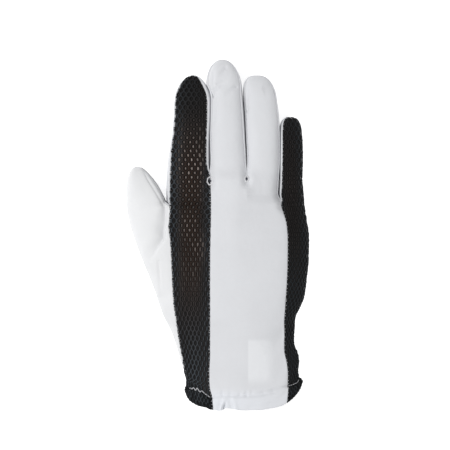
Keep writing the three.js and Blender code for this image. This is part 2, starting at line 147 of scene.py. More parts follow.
# Sections of the fingers, numbered from the thumb: outline, thickness, lift of the underside
# above the floor, and how far inside the outline the seams lie at the left and at the right
SECTIONS = table("""
finger y    left  right thick lift inset_left inset_right
0      18.0 -62.9 -34.4 19.6  0.2  1.2        1.3
0      20.0 -62.9 -35.2 19.5  0.2  1.2        1.3
0      25.0 -63.0 -37.3 19.2  0.6  1.2        1.2
0      30.5 -63.1 -40.1 18.6  1.0  1.2        1.2
0      46.0 -63.0 -47.2 17.4  1.6  1.2        1.2
1      18   -35.6 -5.9  18.5  0.0  2.4        1.9
1      20   -35.8 -5.9  18.5  0.0  2.6        1.9
1      37   -35.6 -5.9  18.2  0.4  2.7        2.0
1      48   -35.0 -5.8  17.6  1.2  2.5        2.5
1      59   -33.6 -5.8  17.4  1.8  1.7        2.5
1      68   -32.1 -5.4  17.4  1.8  1.4        2.8
1      80   -31.1 -4.6  17.0  1.2  1.3        3.2
1      91   -30.6 -4.2  15.6  0.5  1.3        3.6
1      109  -29.2 -7.4  14.6  0.0  1.3        3.5
2      37   -6.0  19.3  18.6  0.3  1.2        1.2
2      50   -5.8  19.2  18.2  1.6  1.2        1.4
2      65   -6.1  18.5  17.8  2.6  1.2        1.6
2      80   -5.7  17.7  17.4  2.2  1.2        1.8
2      92   -5.4  16.9  17.0  1.2  1.2        1.9
2      98   -6.4  16.3  16.8  0.8  1.2        1.7
2      103  -8.3  15.8  16.4  0.4  1.2        1.4
2      120  -8.9  14.2  14.6  0.0  1.2        1.2
3      20   19.5  43.0  18.0  0.0  1.2        1.2
3      28   19.5  41.1  17.8  0.2  1.2        1.2
3      37   19.5  41.5  17.6  0.5  1.2        1.2
3      50   19.3  42.3  17.2  1.5  1.2        1.2
3      65   18.5  42.3  16.8  2.1  1.2        1.2
3      80   17.7  41.5  16.4  1.4  1.2        1.2
3      94   16.9  39.9  15.8  0.5  1.2        1.2
3      109  16.6  37.5  14.4  0.0  1.2        1.2
4      20   43.2  58.8  16.4  0.0  1.9        1.2
4      28   41.1  58.2  16.2  0.2  1.9        1.2
4      38   41.6  57.3  15.6  0.8  1.9        1.2
4      50   41.5  57.6  15.6  1.4  2.3        1.2
4      60   41.4  57.5  15.2  1.2  2.5        1.2
4      69   41.5  57.0  14.8  0.6  2.4        1.2
4      81   42.2  56.0  13.2  0.0  2.0        1.2
""")
for number, finger in enumerate(FINGERS):
    finger["rows"] = where(SECTIONS, "finger", number)

# Soft grooves in the back of the hand
CREASES = table("""
from_x from_y to_x to_y depth width
54     -62    30   -74  2.2   5
56     -88    38   -96  -1.4  6
-38    -44    -29  -62  1.6   5
12     32     9    -34  -1.3  9
""")

# The glove's shape


def smooth(t):
    s = np.clip(t, 0, 1)
    return s * s * (3 - 2 * s)


def mix(a, b, t):
    return a + (b - a) * t


def signed_power(v, p):
    return np.sign(v) * np.abs(v) ** p


def unit(v, least=1e-9):
    return v / np.maximum(np.linalg.norm(v, axis=-1, keepdims=True), least)


def at(rows, column, y):
    """A table's column at y: a smooth curve through the rows that never overshoots."""
    x, v = rows["y"], rows[column]
    y = np.clip(y, x[0], x[-1])
    slope = np.diff(v) / np.diff(x)
    tangent = np.empty_like(v)
    tangent[0], tangent[-1] = slope[0], slope[-1]
    product = slope[:-1] * slope[1:]
    same = product > 0
    total = np.where(same, slope[:-1] + slope[1:], 1)
    tangent[1:-1] = np.where(same, 2 * product / total, 0)
    i = np.clip(np.searchsorted(x, y) - 1, 0, len(x) - 2)
    step = x[i + 1] - x[i]
    t = (y - x[i]) / step
    u = t - 1
    ends = (1 + 2 * t) * u * u * v[i] + t * t * (3 - 2 * t) * v[i + 1]
    return ends + t * u * step * (u * tangent[i] + t * tangent[i + 1])


def across_at(turn):
    return signed_power(np.cos(turn), 2 / ROUNDNESS)


def turn_at(across):
    return np.arccos(np.clip(signed_power(across, ROUNDNESS / 2), -1, 1))


def rise_at(across, power):
    return (1 - np.minimum(1, np.abs(across)) ** power) ** (1 / power)


def hand_section(y):
    left, right = at(HAND, "left", y), at(HAND, "right", y)
    return (left + right) / 2, (right - left) / 2


def beside_segment(x, y, fx, fy, tx, ty):
    """The share of a segment at which a place lies beside it, and the way there from it."""
    dx, dy = tx - fx, ty - fy
    t = np.clip(((x - fx) * dx + (y - fy) * dy) / (dx * dx + dy * dy), 0, 1)
    return t, x - fx - t * dx, y - fy - t * dy


def crease_depth(creases, x, y):
    depth = 0
    for *ends, most, width in zip(*creases.values()):
        t, *away = beside_segment(x, y, *ends)
        depth = depth + most * (1 - t**2) * np.exp(-((np.hypot(*away) / width) ** 2))
    return depth


def plain_height(y, across, under):
    side = at(HAND, "side", y)
    if under:
        return side - (side + PALM_PRESS) * rise_at(across, PALM_POWER)
    return side + (at(HAND, "top", y) - side) * rise_at(across, BACK_POWER)


def line_across(line, y):
    centre, half = hand_section(y)
    return np.clip((at(LINES, line, y) - centre) / half, -1, 1)


def hand_points(y, turn, under):
    """The shape before it parts into fingers."""
    centre, half = hand_section(y)
    across = across_at(turn)
    x = centre + half * across
    inside = smooth(2 * np.sin(turn))
    z = plain_height(y, across, under)
    for crotch in CROTCHES:
        crotch_y = np.array(float(crotch["y"]))
        start = plain_height(crotch_y, line_across(crotch["line"], crotch_y), under)
        end = crotch["palm_z"] if under else crotch["back_z"]
        run = np.maximum(0, crotch_y - y)
        along = 1 - smooth(run / crotch["valley"])
        middle = at(LINES, crotch["line"], y) + crotch["beside"]
        share = along * np.exp(-(((x - middle) / crotch["width"]) ** 2))
        z = z + (end - np.maximum(0, start)) * share * inside
    if not under:
        z = z - crease_depth(CREASES, x, y) * inside
    most = CUFF_BOW * (PALM_BOW_SHARE if under else 1)
    bow = most * np.sqrt(np.maximum(0, 1 - np.abs(across) ** CUFF_BOW_POWER))
    tilt = CUFF_TILT * smooth((across - CUFF_TILT_FROM) / (1 - CUFF_TILT_FROM))
    share = 1 - smooth((y - CUFF_Y - HEM_HEIGHT) / CUFF_BOW_FADE)
    return np.stack([x, y + (tilt - bow) * share, np.maximum(0, z)], -1)


def finger_section(finger, y):
    names = ("left", "right", "thick", "lift", "inset_left", "inset_right")
    left, right, thick, lift, inset_left, inset_right = (at(finger["rows"], k, y) for k in names)
    cap, tip, power = finger["cap_y"], finger["tip_y"], finger["power"]
    share = np.clip((y - cap) / (tip - cap), 0, 1)

    def close(reach):
        return (1 - np.minimum(1, reach) ** power) ** (1 / power)

    return dict(
        centre=mix((left + right) / 2, finger["tip_x"], share**2),
        half=(right - left) / 2 * close(share * TIP_NARROWING),
        up=thick / 2 * close(share),
        middle=lift + thick / 2,
        left_turn=np.pi - turn_at(1 - 2 * inset_left / (right - left)),
        right_turn=turn_at(1 - 2 * inset_right / (right - left)),
    )


def strip_turn(n, y, across):
    """Where a place across finger n's back lies round the finger."""
    section = finger_section(FINGERS[n], y)
    left = section["left_turn"] if n > THUMB else np.pi
    right = section["right_turn"] if n < LITTLE else 0
    return mix(left, right, across)


def back_end(n, across):
    """The share of fingertip n that its back covers: an arch just inside the outline."""
    finger = FINGERS[n]
    power = finger["power"]
    cap, tip = float(finger["cap_y"]), finger["tip_y"]
    half = finger_section(finger, cap)["half"]
    most = 1 - TIP_SEAM_INSET / half
    reach = np.minimum(most, np.abs(across_at(strip_turn(n, cap, across))))
    wide = (reach * half / (half - TIP_RIM)) ** power
    tall = ((tip - cap) / (tip - cap - TIP_RIM)) ** power
    return ((1 - wide) / (tall - wide)) ** (1 / power)


def back_y(n, row, across):
    """The y of a place on finger n's back: rows past the cap's start follow the arch."""
    cap = FINGERS[n]["cap_y"]
    return np.where(row <= cap, row, cap + (row - cap) * back_end(n, across))


def finger_points(finger, y, turn, under):
    s = finger_section(finger, y)
    across = across_at(turn)
    power = np.where(under, FINGER_PALM_POWER, finger["back_power"])
    rise = s["up"] * rise_at(across, power)
    z = np.maximum(0, s["middle"] + np.where(under, -rise, rise))
    return np.stack([s["centre"] + s["half"] * across, y + 0 * across, z], -1)


def parted(crotch, y):
    return smooth((y - crotch["y"]) / crotch["blend"])


def strip_parted(n, y, across):
    """How far a place across finger n's strip has parted from the closed hand."""
    left, right = crotches_of(n)
    if left and right:
        return mix(parted(left, y), parted(right, y), across)
    crotch = left or right
    slow = smooth((y - crotch["y"]) / OUTER_BLEND)
    near = across if right else 1 - across
    return mix(slow, parted(crotch, y), near**4)


def crotches_of(n):
    left = CROTCHES[n - 1] if n > THUMB else None
    right = CROTCHES[n] if n < LITTLE else None
    return left, right


def hand_turn(n, y, across):
    """Where a place across finger n's strip lies round the hand."""
    left, right = crotches_of(n)
    left_turn = turn_at(line_across(left["line"], y)) if left else np.pi
    right_turn = turn_at(line_across(right["line"], y)) if right else 0
    return mix(left_turn, right_turn, across)


def strip_points(n, y, across, under):
    """Finger number n's back or front, with the part of the hand below it."""
    hand_y = np.minimum(y, HAND["y"][-1])
    share = strip_parted(n, y, across)[..., None]
    closed = hand_points(hand_y, hand_turn(n, hand_y, across), under)
    own = finger_points(FINGERS[n], y, strip_turn(n, y, across), under)
    return mix(closed, own, share)


def gusset_points(n, crotch, on_right, y, up):
    """The gusset along one side of finger n, from its palm seam, 0, to its back seam, 1."""
    finger = FINGERS[n]
    edge = np.ones_like(y) * (1.0 if on_right else 0.0)
    low = strip_points(n, y, edge, True)
    high = strip_points(n, y, edge, False)
    edge_turn = finger_section(finger, y)["right_turn" if on_right else "left_turn"]
    seam = edge_turn if on_right else np.pi - edge_turn
    turn = mix(-seam, seam, up)
    side = np.abs(turn) if on_right else np.pi - np.abs(turn)
    rounded = finger_points(finger, y, side, turn < 0)
    bottom = finger_points(finger, y, edge_turn, np.full_like(y, True, bool))
    top = finger_points(finger, y, edge_turn, np.full_like(y, False, bool))
    bulge = rounded - mix(bottom, top, up[..., None])
    bulge = np.where(((up <= 0) | (up >= 1))[..., None], 0, bulge)
    points = mix(low, high, up[..., None]) + bulge * parted(crotch, y)[..., None]
    points[..., 2] = np.maximum(0, points[..., 2])
    return points


def patch_points(patch, y, c):
    kind, n, side = patch
    if kind == "strip":
        return strip_points(n, y, c, side)
    crotch = CROTCHES[n if side else n - 1]
    return gusset_points(n, crotch, side, y, c)


# Rows of sections

ROW_GAP = 0.01


def even_rows(start, end, step):
    count = max(1, round((end - start) / step))
    return start + (end - start) * np.arange(count) / count


def hand_rows(step):
    crotches = sorted({crotch["y"] for crotch in CROTCHES})
    stops = [CUFF_Y, CUFF_Y + HEM_HEIGHT, SIDE_PANEL_END_Y, THUMB_SET_IN_Y, *crotches]
    return np.concatenate([even_rows(a, b, step) for a, b in zip(stops, stops[1:])] + [stops[-1:]])


def finger_rows(n, step, cap_rows):
    finger = FINGERS[n]
    shared = hand_rows(step)
    shared = shared[shared < finger["cap_y"] - step / 2]
    above = even_rows(shared[-1], finger["cap_y"], step)[1:]
    turns = np.arange(1, cap_rows + 1) / cap_rows
    cap = mix(finger["cap_y"], finger["tip_y"], np.sin(turns * np.pi / 2))
    return np.concatenate([shared, above, [finger["cap_y"]], cap])


# Meshes as welded grids

# How many places a point can have in a millimetre: closer points become one
WELD_STEPS = 400


class Skin:
    """Grids of points, welded where they meet, with faces turned out."""

    def __init__(self):
        self.grids = []

    def add(self, points, normals, flip):
        self.grids.append((points, normals, flip))

    def weld(self):
        """Points, their outward directions, faces, and each grid's point numbers."""
        loose = np.concatenate([g[0].reshape(-1, 3) for g in self.grids])
        facing = np.concatenate([g[1].reshape(-1, 3) for g in self.grids])
        keys = np.round(loose * WELD_STEPS).astype(int)
        _, first, ids = np.unique(keys, axis=0, return_index=True, return_inverse=True)
        ids = ids.reshape(-1)
        faces, numbers, start = [], [], 0
        for grid, _, flip in self.grids:
            shape = grid.shape[:2]
            own = ids[start : start + shape[0] * shape[1]].reshape(shape)
            start += own.size
            numbers.append(own)
            quads = np.stack([own[:-1, :-1], own[:-1, 1:], own[1:, 1:], own[1:, :-1]], -1)
            quads = quads.reshape(-1, 4)
            faces.append(quads[:, ::-1] if flip else quads)
        kept = []
        for quad in np.concatenate(faces).tolist():
            corners = [a for a, b in zip(quad, quad[1:] + quad[:1]) if a != b]
            if len(set(corners)) == len(corners) and len(corners) > 2:
                kept.append(corners)
        return loose[first], facing[first], kept, numbers


def triangles(faces):
    """Faces of three and four corners as an array of triangles."""
    out = [f[:3] for f in faces] + [[f[0], f[2], f[3]] for f in faces if len(f) == 4]
    return np.array(out)


def point_normals(points, faces):
    tris = triangles(faces)
    a, b, c = (points[tris[:, k]] for k in range(3))
    area = np.cross(b - a, c - a)
    normals = np.zeros_like(points)
    for k in range(3):
        np.add.at(normals, tris[:, k], area)
    return unit(normals, 1e-12)


def border_edges(faces):
    edges = dict.fromkeys(edge for face in faces for edge in zip(face, face[1:] + face[:1]))
    return [edge for edge in edges if edge[::-1] not in edges]


def closing_faces(faces, count):
    """The faces of an inner skin whose points follow count later, and of the walls between."""
    inside = [[i + count for i in face[::-1]] for face in faces]
    return inside, [[b, a, a + count, b + count] for a, b in border_edges(faces)]


# The cloth, relaxed once on a coarse skin, then read by every panel

COARSE_STEP = 2.2
COARSE_COLUMNS = 14
COARSE_SIDE_COLUMNS = 6
COARSE_CAP = 8


def coarse_patches():
    patches = {}
    columns = np.linspace(0, 1, COARSE_COLUMNS + 1)
    side_columns = np.linspace(0, 1, COARSE_SIDE_COLUMNS + 1)
    for n in range(5):
        rows = finger_rows(n, COARSE_STEP, COARSE_CAP)
        for under in (False, True):
            patches[("strip", n, under)] = (rows, columns)
        for on_right in (False, True):
            crotch = n if on_right else n - 1
            if 0 <= crotch < len(CROTCHES):
                above = rows[rows >= CROTCHES[crotch]["y"] - ROW_GAP]
                patches[("gusset", n, on_right)] = (above, side_columns)
    return patches


PATCHES = coarse_patches()
SHIFTS = {}
NORMALS = {}


def mesh_object(name, points, faces):
    mesh = bpy.data.meshes.new(name)
    mesh.from_pydata(((points - CENTRE) * MM).tolist(), [], faces)
    mesh.polygons.foreach_set("use_smooth", [True] * len(mesh.polygons))
    mesh.update()
    obj = bpy.data.objects.new(name, mesh)
    bpy.context.scene.collection.objects.link(obj)
    return obj


CLOTH_FRAMES = 24
SEAM_SHRINK = 0.01
CLOTH_GROWTH = 0.003
MOST_SHIFT = 0.8
# How firmly places are held: on the floor and in gussets, at the hand's outer sides, elsewhere
HELD_FIRM = 1.0
HELD_OUTER = 0.8
HELD_LOOSE = 0.25
ON_FLOOR = 0.3
# Ripples as short as the coarse grid are evened out between the seams
EVENING_ROUNDS = 4


def relax_cloth():
    """Lets the skin settle as cloth: the seams draw in and the cloth between them is a little full."""
    skin = Skin()
    for patch, (rows, columns) in PATCHES.items():
        y, c = np.meshgrid(rows, columns, indexing="ij")
        points = patch_points(patch, y, c)
        skin.add(points, 0 * points, patch[2])
    points, _, faces, numbers = skin.weld()
    numbers = dict(zip(PATCHES, numbers))
    shift = settled(points, faces, numbers) - points
    normals = point_normals(points + shift, faces)
    for patch, own in numbers.items():
        SHIFTS[patch] = shift[own]
        NORMALS[patch] = normals[own]


def carry(obj, name, values):
    """Gives every point of an object a number that its material reads."""
    obj.data.attributes.new(name, "FLOAT", "POINT").data.foreach_set("value", values)


def settled(points, faces, patches):
    """The points of the skin after the cloth simulation."""
    obj = mesh_object("cloth_work", points, faces)
    seam = np.zeros(len(points), bool)
    held = np.where(points[:, 2] < ON_FLOOR, HELD_FIRM, HELD_LOOSE)
    for patch, own in patches.items():
        if patch[0] == "gusset":
            seam[own[:, [0, -1]]] = True
            held[own] = HELD_FIRM
        elif patch[1] != RING:
            seam[own[:, 0]] = True
        seam[own[0]] = True
        if patch[:2] == ("strip", THUMB):
            held[own[:, 0]] = HELD_OUTER
        if patch[:2] == ("strip", LITTLE):
            held[own[:, -1]] = HELD_OUTER
    hold = obj.vertex_groups.new(name="hold")
    draw = obj.vertex_groups.new(name="draw")
    for i in range(len(points)):
        hold.add([i], float(held[i]), "REPLACE")
        draw.add([i], float(seam[i]), "REPLACE")
    cloth = obj.modifiers.new("cloth", "CLOTH")
    settings = cloth.settings
    settings.quality = 6
    settings.mass = 0.1
    settings.tension_stiffness = 20
    settings.compression_stiffness = 20
    settings.shear_stiffness = 8
    settings.bending_stiffness = 1.0
    settings.air_damping = 4
    settings.vertex_group_mass = "hold"
    settings.pin_stiffness = 0.6
    settings.vertex_group_shrink = "draw"
    settings.shrink_min = -CLOTH_GROWTH
    settings.shrink_max = SEAM_SHRINK
    settings.use_pressure = True
    settings.uniform_pressure_force = 0.4
    settings.effector_weights.gravity = 0
    cloth.collision_settings.use_collision = False
    cloth.collision_settings.use_self_collision = False
    scene = bpy.context.scene
    cloth.point_cache.frame_start = 1
    cloth.point_cache.frame_end = CLOTH_FRAMES
    for number in range(1, CLOTH_FRAMES + 1):
        scene.frame_set(number)
    seen = obj.evaluated_get(bpy.context.evaluated_depsgraph_get())
    moved = np.empty(len(points) * 3)
    seen.data.vertices.foreach_get("co", moved)
    shift = moved.reshape(-1, 3) / MM + CENTRE - points
    size = np.linalg.norm(shift, axis=1, keepdims=True)
    shift *= np.minimum(1, MOST_SHIFT / np.maximum(size, 1e-9))
    edges = np.array([pair for face in faces for pair in zip(face, face[1:] + face[:1])])
    count = np.maximum(np.bincount(edges[:, 0], minlength=len(points)), 1)[:, None]
    for _ in range(EVENING_ROUNDS):
        total = np.zeros_like(shift)
        np.add.at(total, edges[:, 0], shift[edges[:, 1]])
        shift[~seam] = mix(shift, total / count, 0.5)[~seam]
    scene.frame_set(1)
    bpy.data.objects.remove(obj)
    return points + shift


def cubic_weights(t):
    """Catmull-Rom weights of the four points round a place."""
    first, last = -t + 2 * t**2 - t**3, -(t**2) + t**3
    return np.stack([first, 2 - 5 * t**2 + 3 * t**3, t + 4 * t**2 - 3 * t**3, last], -1) / 2


def grid_at(grid, r, c):
    """A grid's value at fractional row r and column c."""
    out = 0
    r0 = np.clip(np.floor(r).astype(int), 0, grid.shape[0] - 2)
    c0 = np.clip(np.floor(c).astype(int), 0, grid.shape[1] - 2)
    wr, wc = cubic_weights(r - r0), cubic_weights(c - c0)
    for i in range(4):
        ri = np.clip(r0 + i - 1, 0, grid.shape[0] - 1)
        for j in range(4):
            cj = np.clip(c0 + j - 1, 0, grid.shape[1] - 1)
            out = out + grid[ri, cj] * (wr[..., i] * wc[..., j])[..., None]
    return out


def coarse_place(patch, y, c):
    rows, columns = PATCHES[patch]
    return np.interp(y, rows, np.arange(len(rows))), c * (len(columns) - 1)


def shaped(patch, y, c):
    """A patch's points with the relaxed cloth's shift."""
    return patch_points(patch, y, c) + grid_at(SHIFTS[patch], *coarse_place(patch, y, c))


def facing(patch, y, c):
    """A patch's outward directions, the same on both sides of a seam."""
    return unit(grid_at(NORMALS[patch], *coarse_place(patch, y, c)))


# Height of the hem at places across the hand, from its left outline, -1, to its right one, 1
HEM_LINE = table("""
y     height
-1    4.0
-0.92 8.2
-0.85 10.0
-0.79 10.7
-0.69 10.0
-0.6  7.9
-0.55 7.2
-0.45 9.2
-0.23 9.9
0.2   10.0
0.41  10.9
0.59  11.8
0.73  11.1
0.82  9.4
0.9   7.2
1     4.0
""")
# How far the hem puffs out, and how deep and wide the groove of its stitches is. Lengths are
# shares of its height
HEM_PUFF = dict(height=0.9, start=-0.15, end=0.75, fade=0.25)
HEM_GROOVE = dict(depth=0.8, width=0.09)
# The line that stands out beside a gusset's back seam, and about how high a gusset is for each
# half of its finger's thickness
WELT = dict(height=0.6, away=1.1, width=0.6, tip_fade=7.0)
GUSSET_HEIGHT = 1.7

# Gathers and folds too small for the solids: grooves, or ridges where the depth is negative
FOLDS = table("""
from_x from_y to_x  to_y   depth width
2.7    -119.6 4.9   -114.6 2.6   0.95
1.7    -118.6 5.1   -110.4 -0.9  1.2
9.2    -118.6 7.2   -109.7 0.8   1.2
12.0   -118.6 9.9   -109.7 -0.6  1.4
0.3    -117.3 2.4   -109.7 0.6   1.1
2.7    -109.2 3.0   -105.0 0.7   1.1
8.2    -108.9 8.0   -104.5 0.5   1.1
14.6   -109.2 14.9  -106.5 0.5   1.2
19.0   -109.3 19.3  -105.5 0.7   1.3
22.6   -108.7 23.0  -105.0 0.5   1.1
30.6   -108.4 31.0  -105.5 0.4   1.4
37.2   -107.5 37.7  -105.0 0.4   1.4
21.0   -117.5 30.0  -116.0 0.4   1.2
33.0   -114.5 24.0  -116.5 -0.4  1.4
-41.0  -18.8  -39.5 -44.8  0.7   0.9
-2.6   99.0   7.0   105.6  1.4   1.1
-1.6   103.6  8.6   110.0  1.3   1.1
12.5   101.0  3.5   95.0   1.0   1.2
5.0    114.0  -0.5  108.0  1.0   1.0
-3.9   94.0   -3.4  112.0  1.1   0.9
-2.6   78.0   -1.8  102.0  0.8   1.0
19.6   84.0   19.9  102.0  1.0   0.9
31.0   100.0  36.0  104.0  1.0   0.9
32.0   97.0   37.0  101.0  0.8   0.9
""")

# Lines down the thumb: the groove and the ridge of its inner seam, then the fold where its
# mound ends, with a long slope and a steep far side
THUMB_PATHS = table("""
line x     y     depth
0    -50.3 42.0  0.3
0    -48.1 37.3  0.5
0    -43.6 30.4  0.6
0    -39.6 23.6  0.6
0    -37.0 18.5  0.2
1    -48.9 42.0  -0.3
1    -46.1 37.3  -0.4
1    -41.3 30.4  -0.4
1    -38.0 23.6  -0.4
1    -36.3 19.5  0.0
2    -36.6 20.0  0.4
2    -36.6 16.7  1.2
2    -36.4 9.9   2.6
2    -37.6 3.1   3.7
2    -37.4 -2.4  3.9
2    -41.7 -7.9  2.4
2    -45.3 -14.0 0.9
2    -48.0 -19.0 0.0
""")
# How far each line's groove reaches to its left and to its right
THUMB_REACHES = [(0.65, 0.65), (0.8, 0.8), (4.2, 1.1)]


def line_depth(number, x, y):
    """Depth of the groove along one of the thumb's lines."""
    nearest, depth = np.full(x.shape, 1e9), np.zeros(x.shape)
    path = where(THUMB_PATHS, "line", number)
    path_x, path_y, most = path["x"], path["y"], path["depth"]
    reach_left, reach_right = THUMB_REACHES[number]
    for i in range(len(most) - 1):
        fx, tx, fy, ty = *path_x[i : i + 2], *path_y[i : i + 2]
        t, away_x, away_y = beside_segment(x, y, fx, fy, tx, ty)
        away = np.hypot(away_x, away_y)
        on_right = (tx - fx) * away_y - (ty - fy) * away_x > 0
        reach = np.where(on_right, reach_right, reach_left)
        own = mix(most[i], most[i + 1], t) * np.exp(-((away / reach) ** 2))
        depth = np.where(away < nearest, own, depth)
        nearest = np.minimum(nearest, away)
    return depth


def hem_share(patch, y, c):
    """How far up the hem a place is: 0 at the cuff's edge, 1 at the hem's stitches."""
    n = patch[1]
    across = across_at(hand_turn(n, np.minimum(y, HAND["y"][-1]), c))
    return (y - CUFF_Y) / at(HEM_LINE, "height", across)


def relief(patch, y, c, points):
    """How far the surface stands out from the relaxed cloth."""
    kind, n, under = patch
    if kind != "strip":
        from_seam = (1 - c) * finger_section(FINGERS[n], y)["up"] * GUSSET_HEIGHT
        from_tip = smooth((FINGERS[n]["tip_y"] - y) / WELT["tip_fade"])
        off = (from_seam - WELT["away"]) / WELT["width"]
        return WELT["height"] * from_tip * np.exp(-(off**2))
    share = hem_share(patch, y, c)
    grows, ends = (smooth((share - HEM_PUFF[k]) / HEM_PUFF["fade"]) for k in ("start", "end"))
    out = HEM_PUFF["height"] * (1 - ends) * grows
    out = out - HEM_GROOVE["depth"] * np.exp(-(((share - 1) / HEM_GROOVE["width"]) ** 2))
    if not under:
        out = out - crease_depth(FOLDS, points[..., 0], points[..., 1])
    if n == THUMB and not under:
        for line in range(len(THUMB_REACHES)):
            out = out - line_depth(line, points[..., 0], points[..., 1])
    return out


# How far the cuff's edge is drawn up along its width: it sags left of the notch
CUFF_EDGE = table("""
x     rise
-22.0 -1.8
-19.5 -1.4
-16.8 -0.7
-14.0 -0.6
-11.3 -0.2
-8.6  0.0
-6.0  -0.9
-0.3  -1.0
2.4   -0.6
3.6   0.2
5.1   1.2
7.9   0.9
10.6  0.6
13.3  0.0
18.8  -0.25
21.5  0.0
30.0  0.0
35.2  0.7
40.7  1.1
44.0  0.5
49.0  0.0
""")


def finished(patch, y, c):
    """A patch's points with all its relief, and its outward directions."""
    points, normals = shaped(patch, y, c), facing(patch, y, c)
    points = points + normals * relief(patch, y, c, points)[..., None]
    if patch[0] == "strip":
        rise = np.interp(points[..., 0], CUFF_EDGE["x"], CUFF_EDGE["rise"])
        points[..., 1] += rise * (1 - smooth(hem_share(patch, y, c)))
    points[..., 2] = np.maximum(points[..., 2], 0)
    return points, normals


# Panels of cloth and leather

EDGE_STEPS = np.array([0.0, 0.22, 0.5, 0.85, 1.35])
# A row shorter than this has its edge steps drawn together
EDGE_FULL_WIDTH = 8
FINE_STEP = 0.9
FINE_CAP = 16
SAMPLES = 61
SEAM_REACH = 0.8
SEAM_DEPTH = 0.32
# How many points are measured against a panel's edges at a time
BLOCK = 2000


def fine_columns(patch, y_at, rows, count):
    """Columns for each row: close together at the two seams, even between them."""
    c = np.linspace(0, 1, SAMPLES)
    row, across = np.meshgrid(rows, c, indexing="ij")
    points = shaped(patch, y_at(row, across), across)
    steps = np.linalg.norm(np.diff(points, axis=1), axis=2)
    out = np.empty((len(rows), count + 1))
    for r, step in enumerate(steps):
        arc = np.concatenate([[0], np.cumsum(step)])
        width = arc[-1]
        if width < 1e-6:
            out[r] = np.linspace(0, 1, count + 1)
            continue
        edge = EDGE_STEPS * min(1, width / EDGE_FULL_WIDTH)
        middle = np.linspace(edge[-1], width - edge[-1], count + 3 - 2 * len(edge))
        target = np.concatenate([edge[:-1], middle, (width - edge[:-1])[::-1]])
        out[r] = np.interp(target, arc, c)
    out[:, 0], out[:, -1] = 0, 1
    return out


def refined(rows, marks):
    """Rows with a few more close to each mark, where a seam crosses them."""
    extra = [mark + side * step for mark in marks for side in (-1, 1) for step in EDGE_STEPS]
    keep = [y for y in extra if rows[0] <= y <= rows[-1]]
    far = [y for y in rows if all(abs(y - mark) > EDGE_STEPS[-1] for mark in marks)]
    return np.unique(np.round(np.concatenate([far, keep, [rows[0], rows[-1]]]), 6))


def plain_y(row, across):
    return row + 0 * across


def add_grid(skin, patch, y_at, rows, c, flip):
    row = np.repeat(rows[:, None], c.shape[1], 1)
    skin.add(*finished(patch, y_at(row, c), c), flip)


def rows_from(start, n):
    rows = finger_rows(n, FINE_STEP, FINE_CAP)
    return np.append(start, rows[rows > start + ROW_GAP])


def add_back(skin, n, start=CUFF_Y, columns=24):
    """A finger's back with the strip of the hand below it."""
    rows = rows_from(start, n)
    rows = refined(rows, [start, rows[-1]])
    patch = ("strip", n, False)

    def y_at(row, across):
        return back_y(n, row, across)

    add_grid(skin, patch, y_at, rows, fine_columns(patch, y_at, rows, columns), False)


def add_front(skin, n, start=CUFF_Y, end=None, columns=24):
    """A finger's front with the strip of the palm below it, up to end or over the fingertip."""
    rows = rows_from(start, n)
    marks = [start]
    if end is not None:
        rows = np.append(rows[rows < end - ROW_GAP], end)
        marks.append(end)
    rows = refined(rows, marks)
    patch = ("strip", n, True)
    c = fine_columns(patch, plain_y, rows, columns)
    add_grid(skin, patch, plain_y, rows, c, True)
    if end is not None:
        return
    tip = FINGERS[n]["tip_y"]

    def over_y(row, across):
        return mix(tip, back_y(n, tip, across), row)

    over = ("strip", n, False)
    steps = np.array([0.0, 0.2, 0.4, 0.6, 0.8, 1.0])
    own = fine_columns(over, over_y, steps[1:], columns)
    c = np.concatenate([c[-1:], own])
    add_grid(skin, over, over_y, steps, c, True)


def add_gusset(skin, n, columns=12):
    """The gusset between fingers n and n + 1, down one and up the other."""
    bottom = None
    for finger, on_right in ((n, True), (n + 1, False)):
        rows = rows_from(CROTCHES[n]["y"], finger)
        patch = ("gusset", finger, on_right)
        c = fine_columns(patch, plain_y, rows, columns)
        if bottom is not None:
            c[0] = bottom
        bottom = c[0]
        add_grid(skin, patch, plain_y, rows, c, on_right)


def rolled(points, normals, faces):
    """Turns the cut edges of a panel in towards the glove's inside, as a seam does."""
    ends = points[np.array(border_edges(faces))]
    ends = ends[np.linalg.norm(ends[:, 1] - ends[:, 0], axis=1) > 1e-6]
    distance = np.full(len(points), 1e9)
    for t in np.linspace(0, 1, 4):
        marks = mix(ends[:, 0], ends[:, 1], t)
        for start in range(0, len(points), BLOCK):
            block = slice(start, start + BLOCK)
            gap = np.linalg.norm(points[block][:, None] - marks[None], axis=2).min(1)
            distance[block] = np.minimum(distance[block], gap)
    near = np.clip(1 - distance / SEAM_REACH, 0, 1)
    sink = SEAM_DEPTH * (1 - np.sqrt(np.maximum(0, 1 - near**2)))
    return points - normals * sink[:, None]


def shell(points, normals, faces, thickness):
    """A closed wall: the outer skin, the same skin inside, and the cut edges between."""
    inside, rim = closing_faces(faces, len(points))
    materials = [0] * len(faces) + [1] * len(inside) + [0] * len(rim)
    return np.concatenate([points, points - normals * thickness]), faces + inside + rim, materials


# Spots where the suede inside is left pale under the two nets, as painted light; elsewhere it is
# painted dark, as shade
PAINTED_LIGHT_SPOTS = table("""
x     y   wide long most
-19.6 46  8.0  23   0.8
-20.5 6   6.5  13   0.6
-15.0 -8  5.0  10   0.45
-20.0 -20 7.5  24   0.25
50    38  5    30   0.06
53    -10 4    30   0.04
""")
# Where the sides of the patch of painted highlight lie, and over what length each fades
HIGHLIGHT_PATCH = dict(left=(19.6, 1.2), right=(35.0, 7), bottom=(-100.0, 9), top=(-72.0, 3))
# How white the doubled cloth below top is at its left and at its right, and where that changes
DOUBLE = dict(top=-103.0, left=0.8, right=0.35, fade=9, from_x=-5, over=52)
# The height up to which the slits between the fingers are painted dark as shade, and over how much that
# fades
SLIT = dict(low=10.0, fade=4.5)
